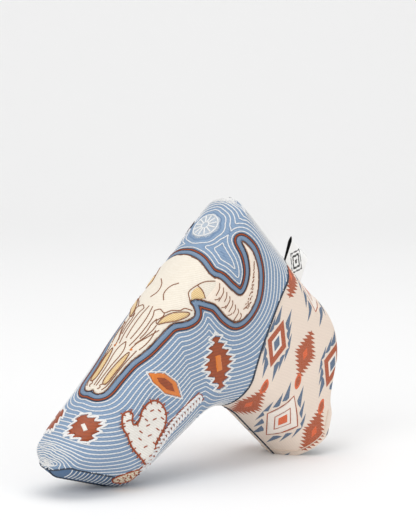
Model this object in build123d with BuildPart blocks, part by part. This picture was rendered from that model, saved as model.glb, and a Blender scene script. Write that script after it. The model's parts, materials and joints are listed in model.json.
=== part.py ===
"""Blade putter head cover: a padded L-shaped sleeve standing on its toe and on its neck.

Units are millimetres. X runs along the ground from the toe to the neck, Y from the
front face to the back, Z up. The origin is the bottom centre of the bounding box.
The side outline is drawn in XZ. Every layer of the wall is the same rounded form,
drawn in by the layers outside it, so the layers always lie on each other.
"""
import os
from math import radians, sin, tan

from build123d import *

os.makedirs("parts", exist_ok=True)

# ---- side outline: edge lengths, directions in degrees above +X, corner radii ----
toe_width, toe_direction = 59.7, 163.8
sole_length, sole_direction = 190.0, 43.9
heel_length, heel_direction = 101.4, -45.5
fold_direction = -104.1
underside_direction = 31.5
neck_direction = -41.6
mouth_corner_height = 11.4   # height of the mouth's lower corner
mouth_sill = 19.6            # neck foot from that corner, along the ground
neck_foot_flat = 5.0         # flat length of the neck's foot
mouth_height = 25.0          # where the heel fold ends and the open mouth begins
mouth_flare = 34.0           # how far the tube runs on past the mouth before it is cut
toe_radius, apex_radius, heel_radius, mouth_radius, crotch_radius = 14.0, 14.0, 42.0, 16.0, 31.0
toe_foot_sink = 0.6          # how much of the toe's rounding is pressed flat on the ground

# ---- wall ------------------------------------------------------------------------
thickness = 44.0             # front face to back face
edge_radius = 13.0           # rounding between the faces and the edges
skin = 1.2                   # outer fabric with its embroidery backing
foam = 4.0                   # padding
plush = 1.5                  # lining
wall = skin + foam + plush
neck_parting = -7.0          # neck side seam, in front of the middle
toe_parting = -12.0          # seam across the toe, in front of the middle
hem_width = 3.0              # binding over the raw edges at the mouth
stitch_proud = 0.5           # seam threads stand this far out of the fabric
stitch_width = 1.2
applique = 0.7               # raised embroidery

# ---- seam between the embroidered panel and the printed neck: along, in from heel --
join_top = (47.0, -8.0)
join_middle = (56.5, 38.0)
join_bottom = (80.0, 92.0)

# ---- closure flap ----------------------------------------------------------------
flap_hinge_in = 11.4         # fold line, in from the heel's furthest point
flap_reach = 47.0            # overlap on the back, in from the heel's furthest point
flap_top_in = 4.7            # upper edge, below the heel edge at the fold line
flap_skin, flap_foam, flap_lining = 1.2, 2.0, 1.0
flap_wall = flap_skin + flap_foam + flap_lining
flap_gap = 0.5               # clearance all round the flap
flap_corner = 10.0
flap_hem = 3.0
patch_thickness = 0.8        # hook and loop tape
patch_gap = 0.4              # between the two tapes
patch_margin = 5.0
patch_top_margin = 12.0
patch_radius = 3.0
flap_lift = 2 * patch_thickness + patch_gap

# ---- woven label in the heel seam ------------------------------------------------
label_start, label_width, label_height = 58.5, 18.0, 16.0
label_ply, label_slot = 0.5, 0.6

FAR = 400.0                  # larger than the object, for cutting


def step(point, length, direction):
    """The next outline corner: length away from point, at direction degrees."""
    return point + Vector(length, 0).rotate(Axis.Z, direction)


def meet(point, direction, height):
    """Where the line through point at direction degrees is at that height."""
    return Vector(point.X + (height - point.Y) / tan(radians(direction)), height)


def cross(point, direction, other, other_direction):
    """Where the lines through two points, each at its own direction, cross."""
    way = step(Vector(0, 0), 1, direction)
    other_way = step(Vector(0, 0), 1, other_direction)
    gap = other - point
    reach = (gap.X * other_way.Y - gap.Y * other_way.X) / (way.X * other_way.Y - way.Y * other_way.X)
    return point + way * reach


def arc_centre(before, corner, after, radius):
    """Centre of the arc that rounds a convex corner."""
    to_before = (before - corner).normalized()
    to_after = (after - corner).normalized()
    half_angle = radians(to_before.get_angle(to_after) / 2)
    return corner + (to_before + to_after).normalized() * (radius / sin(half_angle))


# ---- outline corners, first from the toe corner, then moved to the origin ---------
toe_corner = Vector(0, 0)
sole_corner = step(toe_corner, toe_width, toe_direction)
apex = step(sole_corner, sole_length, sole_direction)
heel_corner = step(apex, heel_length, heel_direction)

left_end = arc_centre(toe_corner, sole_corner, apex, toe_radius).X - toe_radius
right_end = arc_centre(apex, heel_corner, step(heel_corner, 1, fold_direction), heel_radius).X + heel_radius
low_end = arc_centre(step(toe_corner, 1, underside_direction), toe_corner, sole_corner, toe_radius).Y - toe_radius
to_origin = Vector(-(left_end + right_end) / 2, -low_end - toe_foot_sink)

toe_corner += to_origin
sole_corner += to_origin
apex += to_origin
heel_corner += to_origin
right_end += to_origin.X

mouth_corner = meet(heel_corner, fold_direction, mouth_corner_height)
neck_foot = Vector(mouth_corner.X - mouth_sill, 0)
crotch = cross(toe_corner, underside_direction, neck_foot, neck_direction)

fold_end = meet(mouth_corner, fold_direction, mouth_height)
flare_out = fold_end + Vector(mouth_flare, -mouth_flare)
flare_in = neck_foot + (neck_foot - crotch).normalized() * mouth_flare
tube_corners = [toe_corner, sole_corner, apex, heel_corner, fold_end, flare_out, flare_in, crotch]
tube_radii = [toe_radius, toe_radius, apex_radius, heel_radius, mouth_radius, mouth_radius,
              mouth_radius, crotch_radius]

front_depth = thickness / 2 + applique
back_depth = thickness / 2 + flap_lift + flap_wall
middle = (front_depth - back_depth) / 2      # Y of the plane midway between the faces
hinge_x = right_end - flap_hinge_in
flap_top = apex.Y + (hinge_x - apex.X) * tan(radians(heel_direction)) - flap_top_in
side_plane = Plane(origin=(0, middle, 0), x_dir=(1, 0, 0), z_dir=(0, -1, 0))


def on_heel(along, inward):
    """A point of the side outline, from the apex along the heel edge and in from it."""
    return step(step(apex, along, heel_direction), inward, heel_direction - 90)


def on_sole(along, inward):
    """A point of the side outline, from the toe end along the sole edge and in from it."""
    return step(step(sole_corner, along, sole_direction), inward, sole_direction - 90)


# ---- helpers: the rounded form, and prisms through the thickness ------------------
def rounded_form(inset, back_extra=0.0):
    """The sleeve's outer form drawn in by inset; back_extra moves its back face out."""
    with BuildPart() as form:
        with BuildSketch(side_plane.offset(inset - thickness / 2 - back_extra)):
            with BuildLine():
                FilletPolyline(*tube_corners, radius=tube_radii, close=True)
            make_face()
            offset(amount=-inset)
        extrude(amount=thickness + back_extra - 2 * inset)
        faces = form.faces().filter_by(Axis.Y)
        fillet(faces.edges(), edge_radius - inset)
    return form.part


def prism(*corners, radius=0.0, low=-FAR, high=FAR):
    """A straight-sided block on the side plane, from low to high across the thickness."""
    with BuildPart() as block:
        with BuildSketch(side_plane.offset(-high)):
            with BuildLine():
                if radius:
                    FilletPolyline(*corners, radius=radius, close=True)
                else:
                    Polyline(*corners, close=True)
            make_face()
        extrude(amount=high - low)
    return block.part


def spline_prism(*points, low=-FAR, high=FAR):
    """As prism, with a smooth closed outline through the points."""
    with BuildPart() as block:
        with BuildSketch(side_plane.offset(-high)):
            with BuildLine():
                Spline(*points, periodic=True)
            make_face()
        extrude(amount=high - low)
    return block.part


def finish(piece, name):
    """Names a finished piece and writes it."""
    piece.part.label = name
    export_step(piece.part, f"parts/{name}.step")


# ---- shared cutting bodies ---------------------------------------------------------
form_outer = rounded_form(0)
form_in_skin = rounded_form(skin)
form_in_foam = rounded_form(skin + foam)
form_cavity = rounded_form(wall)
form_stitch = rounded_form(-stitch_proud)
form_applique = rounded_form(-applique)


def trim_corners(inset):
    """The region kept by the ground and by the mouth's edge, drawn in by inset at the mouth."""
    shift = Vector(-inset, inset)
    foot = neck_foot + Vector(neck_foot_flat, 0) + Vector(-inset, 0)
    corner = mouth_corner + shift
    fold = fold_end + Vector(-inset, 0)
    return [Vector(-FAR, 0), foot, corner, fold, Vector(FAR, mouth_height), Vector(FAR, FAR), Vector(-FAR, FAR)]


trim_radii = [0, 0, mouth_radius, 0, 0, 0, 0]
trim = prism(*trim_corners(0), radius=trim_radii)
trim_hem = prism(*trim_corners(hem_width), radius=trim_radii)

front_side = prism((-FAR, -FAR), (FAR, -FAR), (FAR, FAR), (-FAR, FAR), high=neck_parting)
front_half = prism((-FAR, -FAR), (FAR, -FAR), (FAR, FAR), (-FAR, FAR), high=0)

with BuildPart() as join_cut:
    with BuildSketch(side_plane.offset(-FAR)):
        with BuildLine():
            ThreePointArc(on_heel(*join_top), on_heel(*join_middle), on_heel(*join_bottom))
            Polyline(on_heel(*join_bottom), (-FAR, -FAR), (-FAR, FAR), (on_heel(*join_top).X, FAR),
                     on_heel(*join_top))
        make_face()
    extrude(amount=2 * FAR)
blade_side = join_cut.part

# everything beyond the fold line, between the mouth and the flap's upper edge
fold_zone = prism((hinge_x - flap_gap, mouth_height), (FAR, mouth_height),
                  (FAR, flap_top + flap_gap), (hinge_x - flap_gap, flap_top + flap_gap))


# ---- outer panels --------------------------------------------------------------------
with BuildPart() as blade_panel:
    add(form_outer)
    add(form_in_skin, mode=Mode.SUBTRACT)
    add(trim, mode=Mode.INTERSECT)
    add(blade_side, mode=Mode.INTERSECT)

with BuildPart() as neck_front_panel:
    add(form_outer)
    add(form_in_skin, mode=Mode.SUBTRACT)
    add(trim_hem, mode=Mode.INTERSECT)
    add(front_side, mode=Mode.INTERSECT)
    add(blade_side, mode=Mode.SUBTRACT)
    add(fold_zone, mode=Mode.SUBTRACT)

with BuildPart() as neck_back_panel:
    add(form_outer)
    add(form_in_skin, mode=Mode.SUBTRACT)
    add(trim_hem, mode=Mode.INTERSECT)
    add(front_side, mode=Mode.SUBTRACT)
    add(blade_side, mode=Mode.SUBTRACT)
    add(fold_zone, mode=Mode.SUBTRACT)

# ---- padding between the panels and the lining ----------------------------------------
with BuildPart() as blade_padding:
    add(form_in_skin)
    add(form_in_foam, mode=Mode.SUBTRACT)
    add(trim, mode=Mode.INTERSECT)
    add(blade_side, mode=Mode.INTERSECT)

with BuildPart() as neck_front_padding:
    add(form_in_skin)
    add(form_in_foam, mode=Mode.SUBTRACT)
    add(trim_hem, mode=Mode.INTERSECT)
    add(front_side, mode=Mode.INTERSECT)
    add(blade_side, mode=Mode.SUBTRACT)
    add(fold_zone, mode=Mode.SUBTRACT)

with BuildPart() as neck_back_padding:
    add(form_in_skin)
    add(form_in_foam, mode=Mode.SUBTRACT)
    add(trim_hem, mode=Mode.INTERSECT)
    add(front_side, mode=Mode.SUBTRACT)
    add(blade_side, mode=Mode.SUBTRACT)
    add(fold_zone, mode=Mode.SUBTRACT)

# ---- plush lining, a front and a back half ---------------------------------------------
with BuildPart() as lining_front:
    add(form_in_foam)
    add(form_cavity, mode=Mode.SUBTRACT)
    add(trim_hem, mode=Mode.INTERSECT)
    add(front_half, mode=Mode.INTERSECT)
    add(fold_zone, mode=Mode.SUBTRACT)

with BuildPart() as lining_back:
    add(form_in_foam)
    add(form_cavity, mode=Mode.SUBTRACT)
    add(trim_hem, mode=Mode.INTERSECT)
    add(front_half, mode=Mode.SUBTRACT)
    add(fold_zone, mode=Mode.SUBTRACT)

# ---- binding over the raw edges at the mouth --------------------------------------------
with BuildPart() as mouth_binding_front:
    add(form_outer)
    add(form_cavity, mode=Mode.SUBTRACT)
    add(trim, mode=Mode.INTERSECT)
    add(trim_hem, mode=Mode.SUBTRACT)
    add(front_side, mode=Mode.INTERSECT)
    add(fold_zone, mode=Mode.SUBTRACT)

with BuildPart() as mouth_binding_back:
    add(form_outer)
    add(form_cavity, mode=Mode.SUBTRACT)
    add(trim, mode=Mode.INTERSECT)
    add(trim_hem, mode=Mode.SUBTRACT)
    add(front_side, mode=Mode.SUBTRACT)
    add(fold_zone, mode=Mode.SUBTRACT)


# ---- seam threads: narrow ribs proud of the fabric, along the edges ----------------------
def along(start, end, reach=6.0, low=-stitch_width / 2, high=stitch_width / 2):
    """A slab that holds the outline between two of its points, one stitch wide across it."""
    side = (end - start).normalized().rotate(Axis.Z, 90) * reach
    return prism(start + side, end + side, end - side, start - side, low=low, high=high)


toe_way = (sole_corner - toe_corner).normalized()
underside_way = (crotch - toe_corner).normalized()
neck_way = (neck_foot - crotch).normalized()
crotch_cut = crotch_radius / 2

with BuildPart() as join_seam:
    add(form_stitch)
    add(form_outer, mode=Mode.SUBTRACT)
    add(trim_hem, mode=Mode.INTERSECT)
    add(blade_side, mode=Mode.INTERSECT)
    shift = step(Vector(0, 0), -stitch_width, heel_direction)
    add(blade_side.moved(Location((shift.X, 0, shift.Y))), mode=Mode.SUBTRACT)

with BuildPart() as toe_seam:
    add(form_stitch)
    add(form_outer, mode=Mode.SUBTRACT)
    add(along(toe_corner + toe_way * toe_radius, sole_corner - toe_way * 2 * toe_radius,
              low=toe_parting - stitch_width / 2, high=toe_parting + stitch_width / 2),
        mode=Mode.INTERSECT)
    add(trim, mode=Mode.INTERSECT)

with BuildPart() as underside_seam:
    add(form_stitch)
    add(form_outer, mode=Mode.SUBTRACT)
    add(along(toe_corner + underside_way * toe_radius, crotch - underside_way * crotch_cut),
        mode=Mode.INTERSECT)

with BuildPart() as neck_seam:
    add(form_stitch)
    add(form_outer, mode=Mode.SUBTRACT)
    add(along(crotch + neck_way * crotch_cut, neck_foot, low=neck_parting - stitch_width / 2,
              high=neck_parting + stitch_width / 2), mode=Mode.INTERSECT)
    add(trim_hem, mode=Mode.INTERSECT)
    add(join_seam.part, mode=Mode.SUBTRACT)

with BuildPart() as heel_seam:
    add(form_stitch)
    add(form_outer, mode=Mode.SUBTRACT)
    add(along(on_heel(apex_radius, 0), on_heel(label_start - stitch_width, 0)), mode=Mode.INTERSECT)
    add(join_seam.part, mode=Mode.SUBTRACT)

# ---- raised embroidery and applique -------------------------------------------------------
edge_out = -4.0              # outlines that wrap the sole edge start this far outside it
skull_edge = [on_sole(s, t) for s, t in ((50, edge_out), (50, 2), (68, 5.5), (84, 9), (102, 12.5),
                                         (114, 16), (122, 14.5), (128, 13), (139, 7.5), (145, 2),
                                         (146, edge_out))]
horn_points = [on_sole(s, t) for s, t in ((134, 9), (131, 20), (132, 30), (134, 38), (141, 41), (153, 39.5),
                                          (165, 29), (168, 18), (167, 9.5), (162, 20), (156, 29),
                                          (148, 32.5), (143.6, 29), (142, 20))]
cactus_points = [on_sole(s, t) for s, t in ((65.4, 23.4), (66.8, 35.9), (60, 40), (49.8, 38.6), (40, 40),
                                            (38.6, 29), (43, 20.1), (48, 12.2), (55, 13.3), (53.5, 19))]
rhombus_points = [on_sole(s, t) for s, t in ((76.4, 10.5), (82.4, 18.1), (84.4, 27.8), (80.7, 35.6),
                                             (75.4, 25.0), (74.5, 15.8))]
diamond_middle, diamond_height, diamond_width, diamond_steps = (110.4, 42.2), 28.7, 20.9, 5
rope_width, rope_in = 4.5, 8.0        # width, and distance in from the underside
rope_from, rope_to = 24.0, 66.0       # its ends, along the underside

skull_block = prism(*skull_edge)


def stepped_diamond(centre, height, width, steps):
    """Corners of an upright diamond whose sides climb in equal square steps."""
    rise, run = height / 2 / steps, width / 2 / steps
    quarter = []
    for i in range(steps):
        quarter.append(Vector(width / 2 - i * run, i * rise))
        quarter.append(Vector(width / 2 - i * run, (i + 1) * rise))
    half = quarter + [Vector(-p.X, p.Y) for p in reversed(quarter)]
    lower = [Vector(-p.X, -p.Y) for p in half]
    around = [p for p in half + lower if p.Y or abs(p.X) < width / 2]
    return [centre + p for p in around]


diamond_outline = stepped_diamond(on_sole(*diamond_middle), diamond_height, diamond_width, diamond_steps)
rope_start = toe_corner + underside_way * rope_from + underside_way.rotate(Axis.Z, 90) * rope_in
rope_end = toe_corner + underside_way * rope_to + underside_way.rotate(Axis.Z, 90) * rope_in
rope_side = underside_way.rotate(Axis.Z, 90) * (rope_width / 2)
rope_outline = [rope_start + rope_side, rope_end + rope_side, rope_end - rope_side, rope_start - rope_side]

with BuildPart() as skull_applique:
    add(form_applique)
    add(form_outer, mode=Mode.SUBTRACT)
    add(skull_block, mode=Mode.INTERSECT)

pieces = {
    "blade_panel": blade_panel,
    "neck_front_panel": neck_front_panel,
    "neck_back_panel": neck_back_panel,
    "blade_padding": blade_padding,
    "neck_front_padding": neck_front_padding,
    "neck_back_padding": neck_back_padding,
    "lining_front": lining_front,
    "lining_back": lining_back,
    "mouth_binding_front": mouth_binding_front,
    "mouth_binding_back": mouth_binding_back,
    "join_seam": join_seam,
    "toe_seam": toe_seam,
    "underside_seam": underside_seam,
    "neck_seam": neck_seam,
    "heel_seam": heel_seam,
    "skull_applique": skull_applique,
}

# the same motifs lie on the front and on the back face
for side, low, high in (("front", -FAR, -stitch_width), ("back", stitch_width, FAR)):
    motif_blocks = {
        "horn": spline_prism(*horn_points, low=low, high=high),
        "cactus": spline_prism(*cactus_points, low=low, high=high),
        "diamond": prism(*diamond_outline, low=low, high=high),
        "rhombus": prism(*rhombus_points, low=low, high=high),
        "rope": prism(*rope_outline, low=low, high=high),
    }
    for motif, block in motif_blocks.items():
        with BuildPart() as embroidery:
            add(form_applique)
            add(form_outer, mode=Mode.SUBTRACT)
            add(block, mode=Mode.INTERSECT)
            add(skull_block, mode=Mode.SUBTRACT)
        pieces[f"{motif}_{side}"] = embroidery

# ---- woven label: a folded ribbon whose ends are caught in the heel seam -------------------
label_thickness = 2 * label_ply + label_slot
label_base = [on_heel(label_start, 0), on_heel(label_start + label_width, 0)]
label_top = [on_heel(label_start + label_width, -label_height), on_heel(label_start, -label_height)]
slot_top = [on_heel(label_start + label_width, label_ply - label_height),
            on_heel(label_start, label_ply - label_height)]

with BuildPart() as woven_label:
    add(prism(*label_base, *label_top, low=-label_thickness / 2, high=label_thickness / 2))
    add(prism(*label_base, *slot_top, low=-label_slot / 2, high=label_slot / 2), mode=Mode.SUBTRACT)
    add(form_outer, mode=Mode.SUBTRACT)
pieces["woven_label"] = woven_label

# ---- hook and loop tape -----------------------------------------------------------------------
patch_left = right_end - flap_reach + patch_margin
patch_right = hinge_x - patch_margin
patch_low = mouth_height + patch_margin
patch_high = flap_top - patch_top_margin
patch_corners = [(patch_left, patch_low), (patch_right, patch_low), (patch_right, patch_high),
                 (patch_left, patch_high)]
loop_low = thickness / 2
hook_low = loop_low + patch_thickness + patch_gap

with BuildPart() as loop_patch:
    add(prism(*patch_corners, radius=patch_radius, low=loop_low, high=loop_low + patch_thickness))
pieces["loop_patch"] = loop_patch

# ---- closure flap: the front panel's end, folded round the heel and onto the back ---------------
flap_extra = flap_lift + flap_wall
flap_outer = rounded_form(0, flap_extra)
flap_in_skin = rounded_form(flap_skin, flap_extra)
flap_in_foam = rounded_form(flap_skin + flap_foam, flap_extra)
flap_inner = rounded_form(flap_wall, flap_extra)
form_clear = rounded_form(-patch_gap)


def flap_region(inset):
    """Front leg beyond the fold line and back leg over the tape, drawn in by inset at free edges."""
    low_edge = mouth_height + flap_gap + inset
    high_edge = flap_top - inset
    reach = right_end - flap_reach + inset
    corner = flap_corner - inset
    with BuildPart() as region:
        add(prism((reach, low_edge), (FAR, low_edge), (FAR, high_edge), (reach, high_edge), low=0,
                  radius=[corner, 0, 0, corner]))
        add(form_clear, mode=Mode.SUBTRACT)
        add(prism((hinge_x, low_edge), (FAR, low_edge), (FAR, high_edge), (hinge_x, high_edge)))
    return region.part


flap_whole = flap_region(0)
flap_core = flap_region(flap_hem)

with BuildPart() as flap_panel:
    add(flap_outer)
    add(flap_in_skin, mode=Mode.SUBTRACT)
    add(flap_core, mode=Mode.INTERSECT)
pieces["flap_panel"] = flap_panel

with BuildPart() as flap_padding:
    add(flap_in_skin)
    add(flap_in_foam, mode=Mode.SUBTRACT)
    add(flap_core, mode=Mode.INTERSECT)
pieces["flap_padding"] = flap_padding

with BuildPart() as flap_inner_lining:
    add(flap_in_foam)
    add(flap_inner, mode=Mode.SUBTRACT)
    add(flap_core, mode=Mode.INTERSECT)
pieces["flap_lining"] = flap_inner_lining

with BuildPart() as flap_binding:
    add(flap_outer)
    add(flap_inner, mode=Mode.SUBTRACT)
    add(flap_whole, mode=Mode.INTERSECT)
    add(flap_core, mode=Mode.SUBTRACT)
pieces["flap_binding"] = flap_binding

with BuildPart() as hook_patch:
    add(prism(*patch_corners, radius=patch_radius, low=hook_low, high=hook_low + patch_thickness))
    add(flap_inner, mode=Mode.INTERSECT)
pieces["hook_patch"] = hook_patch

for name, piece in pieces.items():
    finish(piece, name)
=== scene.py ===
"""Padded head cover for a blade putter: an L-shaped sleeve that stands on its toe and on its
neck. The pocket is embroidered slate-blue twill, the neck is printed canvas whose end folds
round the heel as a closure flap. Flat-pattern work is in millimetres, x along the ground, z up.
"""
import json
import math

import bmesh
import bpy
import numpy as np
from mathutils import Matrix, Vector, geometry
from mathutils.bvhtree import BVHTree


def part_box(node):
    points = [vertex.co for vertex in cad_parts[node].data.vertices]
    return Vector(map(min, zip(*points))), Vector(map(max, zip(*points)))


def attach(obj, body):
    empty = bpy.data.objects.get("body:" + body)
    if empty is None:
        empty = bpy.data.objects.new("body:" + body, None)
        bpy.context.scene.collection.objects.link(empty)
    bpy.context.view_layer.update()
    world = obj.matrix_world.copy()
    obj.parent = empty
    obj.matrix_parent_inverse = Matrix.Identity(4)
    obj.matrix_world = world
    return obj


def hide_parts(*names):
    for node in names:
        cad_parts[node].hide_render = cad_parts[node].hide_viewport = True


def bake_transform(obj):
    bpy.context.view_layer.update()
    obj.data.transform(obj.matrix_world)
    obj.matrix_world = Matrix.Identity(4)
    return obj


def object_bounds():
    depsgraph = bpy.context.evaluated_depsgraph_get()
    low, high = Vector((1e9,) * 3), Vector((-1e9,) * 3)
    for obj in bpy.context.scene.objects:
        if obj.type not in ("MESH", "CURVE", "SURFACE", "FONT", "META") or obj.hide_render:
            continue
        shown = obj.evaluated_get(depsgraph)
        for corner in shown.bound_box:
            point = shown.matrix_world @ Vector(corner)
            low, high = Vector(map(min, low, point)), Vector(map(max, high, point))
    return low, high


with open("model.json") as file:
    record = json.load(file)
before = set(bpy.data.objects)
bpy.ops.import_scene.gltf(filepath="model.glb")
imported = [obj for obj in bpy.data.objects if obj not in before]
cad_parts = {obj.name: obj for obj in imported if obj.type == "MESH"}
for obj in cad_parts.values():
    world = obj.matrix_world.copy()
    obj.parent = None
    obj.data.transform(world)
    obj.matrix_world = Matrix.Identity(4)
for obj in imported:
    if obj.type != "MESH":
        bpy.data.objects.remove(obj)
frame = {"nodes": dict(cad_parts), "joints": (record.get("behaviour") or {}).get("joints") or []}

cad_box = [list(corner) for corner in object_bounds()]


# ---- Studio -------------------------------------------------------------------------------
# A pale seamless sweep with large soft lights overhead and at the left, and a long lens
# that looks down a little at the sole side of the cover.

def linear(code, alpha=1.0):
    """An sRGB hex colour as linear RGBA."""
    parts = [int(code[i:i + 2], 16) / 255 for i in (1, 3, 5)]
    return [c / 12.92 if c <= 0.04045 else ((c + 0.055) / 1.055) ** 2.4 for c in parts] + [alpha]


def node(tree, kind, inputs=None, **settings):
    """Adds a node, with its settings, and its inputs as plain values or as links."""
    made = tree.nodes.new(kind)
    for name, value in settings.items():
        setattr(made, name, value)
    for key, value in (inputs or {}).items():
        if isinstance(value, bpy.types.NodeSocket):
            tree.links.new(value, made.inputs[key])
        else:
            made.inputs[key].default_value = value
    return made


def new_material(name):
    """An empty node material, its tree and its Principled shader."""
    material = bpy.data.materials.new(name)
    material.use_nodes = True
    tree = material.node_tree
    tree.nodes.clear()
    shader = node(tree, "ShaderNodeBsdfPrincipled")
    node(tree, "ShaderNodeOutputMaterial", {"Surface": shader.outputs[0]})
    return material, tree, shader


camera_place, camera_heading, camera_fall, camera_lens = (-0.90395, -0.9838, 0.2831), 43.109, 7.27, 176.5
camera = bpy.data.objects.new("camera", bpy.data.cameras.new("camera"))
camera.data.lens = camera_lens
camera.data.sensor_width = 36
camera.location = camera_place
camera.rotation_euler = (math.radians(90 - camera_fall), 0, math.radians(-camera_heading))
bpy.context.scene.collection.objects.link(camera)
bpy.context.scene.camera = camera

sweep_half, sweep_bend, sweep_height = 2.4, 0.9, 2.6
heading = math.radians(camera_heading)
ahead = Vector((math.sin(heading), math.cos(heading), 0))
aside = Vector((math.cos(heading), -math.sin(heading), 0))
profile = [(-2.2, 0.0), (1.1, 0.0)]
profile += [(1.1 + sweep_bend * math.sin(a), sweep_bend * (1 - math.cos(a)))
            for a in np.linspace(0, math.pi / 2, 24)[1:]]
profile += [(1.1 + sweep_bend, sweep_height)]
sweep_mesh = bpy.data.meshes.new("sweep")
sweep_points = [ahead * d + aside * w * sweep_half + Vector((0, 0, h)) for d, h in profile for w in (-1, 1)]
sweep_mesh.from_pydata(sweep_points, [], [(i, i + 1, i + 3, i + 2) for i in range(0, 2 * len(profile) - 2, 2)])
sweep_mesh.polygons.foreach_set("use_smooth", [True] * len(sweep_mesh.polygons))
sweep = bpy.data.objects.new("sweep", sweep_mesh)
bpy.context.scene.collection.objects.link(sweep)
paper, tree, shader = new_material("matt_white_paper")
shader.inputs["Base Color"].default_value = linear("#EFEFEF")
shader.inputs["Roughness"].default_value = 0.75
sweep_mesh.materials.append(paper)


def soft_light(name, place, aim, size, power):
    """A square area light that faces a point."""
    lamp = bpy.data.lights.new(name, "AREA")
    lamp.size = size
    lamp.energy = power
    holder = bpy.data.objects.new(name, lamp)
    holder.location = place
    holder.rotation_euler = (Vector(aim) - Vector(place)).to_track_quat("-Z", "Y").to_euler()
    bpy.context.scene.collection.objects.link(holder)


soft_light("overhead_softbox", (0.1, 0.1, 1.9), (0, 0, 0), 1.6, 16)
soft_light("left_softbox", (-1.7, -0.5, 1.0), (0, 0, 0.06), 1.2, 13)
soft_light("front_fill", (0.3, -1.9, 0.7), (0, 0, 0.06), 1.4, 6.5)
world = bpy.data.worlds.new("pale_room")
world.use_nodes = True
world.node_tree.nodes["Background"].inputs[0].default_value = linear("#FFFFFF")
world.node_tree.nodes["Background"].inputs[1].default_value = 0.64
bpy.context.scene.world = world
bpy.context.scene.view_settings.view_transform = "Standard"


# ---- Form of the sleeve -------------------------------------------------------------------
# Every layer is cut to the same side outline and sewn or folded along it, so the stuffed cover
# is a pillow: flat faces that round off to the edges. The sole is a soft fold, the toe and the
# heel are pinched by their seams, and the neck's heel side is a boxy fold.

def step(point, length, direction):
    """The point that far from another, at a direction in degrees above the ground."""
    turn = math.radians(direction)
    return np.array(point, float) + length * np.array((math.cos(turn), math.sin(turn)))


def meet(point, direction, height):
    """Where the line through a point reaches a height."""
    return np.array((point[0] + (height - point[1]) / math.tan(math.radians(direction)), height))


sole_way, heel_way, fold_way, under_way, neck_way = 43.9, -45.5, -104.1, 31.5, -41.6
low, high = (np.array(corner) * 1000 for corner in cad_box)
middle = (low[1] + high[1]) / 2 - 2.75
half_depth = 22.0
toe = np.array((low[0] + 44.185, -1.77))
sole = step(toe, 59.7, 163.8)
apex = step(sole, 190.0, sole_way)
heel = step(apex, 101.4, heel_way)
mouth_low = meet(heel, fold_way, 11.4)
mouth_high = meet(heel, fold_way, 25.0)
foot = np.array((mouth_low[0] - 19.6, 0.0))
foot_flat = 5.0
rise = np.tan(np.radians((under_way, neck_way)))
crotch_x = (foot[1] - toe[1] + rise[0] * toe[0] - rise[1] * foot[0]) / (rise[0] - rise[1])
crotch = np.array((crotch_x, toe[1] + rise[0] * (crotch_x - toe[0])))
hinge = [j for j in frame["joints"] if j["name"] == "flap_fold"][0]
hinge_x, hinge_y = (np.array(hinge["pos_m"]) * 1000)[:2]


def rounded_path(corners, radii, spacing):
    """A closed outline of straight runs joined by tangent arcs. Each point also has the number
    of the run it lies on, which slides from one run to the next along an arc."""
    corners = np.array(corners, float)
    count = len(corners)
    arcs = []
    for i in range(count):
        before = corners[i - 1] - corners[i]
        after = corners[(i + 1) % count] - corners[i]
        before /= np.linalg.norm(before)
        after /= np.linalg.norm(after)
        half = math.acos(np.clip(before @ after, -1, 1)) / 2
        centre = corners[i] + (before + after) / np.linalg.norm(before + after) * radii[i] / math.sin(half)
        first = corners[i] + before * radii[i] / math.tan(half)
        last = corners[i] + after * radii[i] / math.tan(half)
        steps = max(2, int(math.ceil(radii[i] * (math.pi - 2 * half) / spacing)))
        start = math.atan2(*(first - centre)[::-1])
        turn = (math.atan2(*(last - centre)[::-1]) - start + math.pi) % (2 * math.pi) - math.pi
        angles = start + turn * np.linspace(0, 1, steps + 1)
        arcs.append((centre + radii[i] * np.stack([np.cos(angles), np.sin(angles)], 1), steps))
    points, runs = [], []
    for i, (arc, steps) in enumerate(arcs):
        points += list(arc)
        runs += list(i - 1 + np.linspace(0, 1, steps + 1))
        gap = arcs[(i + 1) % count][0][0] - arc[-1]
        cuts = max(1, int(round(np.linalg.norm(gap) / spacing)))
        points += [arc[-1] + gap * k / cuts for k in range(1, cuts)]
        runs += [float(i)] * (cuts - 1)
    return np.array(points), np.array(runs)


def nearest(points, path):
    """Distance from each point to an open path, the place along it as a point number with its
    fraction, and the nearest point itself."""
    start, way = path[:-1], path[1:] - path[:-1]
    size = (way ** 2).sum(1)
    best = np.full(len(points), 1e9)
    place = np.zeros(len(points))
    for k in range(len(start)):
        along = np.clip(((points - start[k]) @ way[k]) / size[k], 0, 1)
        gap = points - start[k] - along[:, None] * way[k]
        distance = np.hypot(gap[:, 0], gap[:, 1])
        closer = distance < best
        best[closer] = distance[closer]
        place[closer] = k + along[closer]
    return best, place


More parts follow.
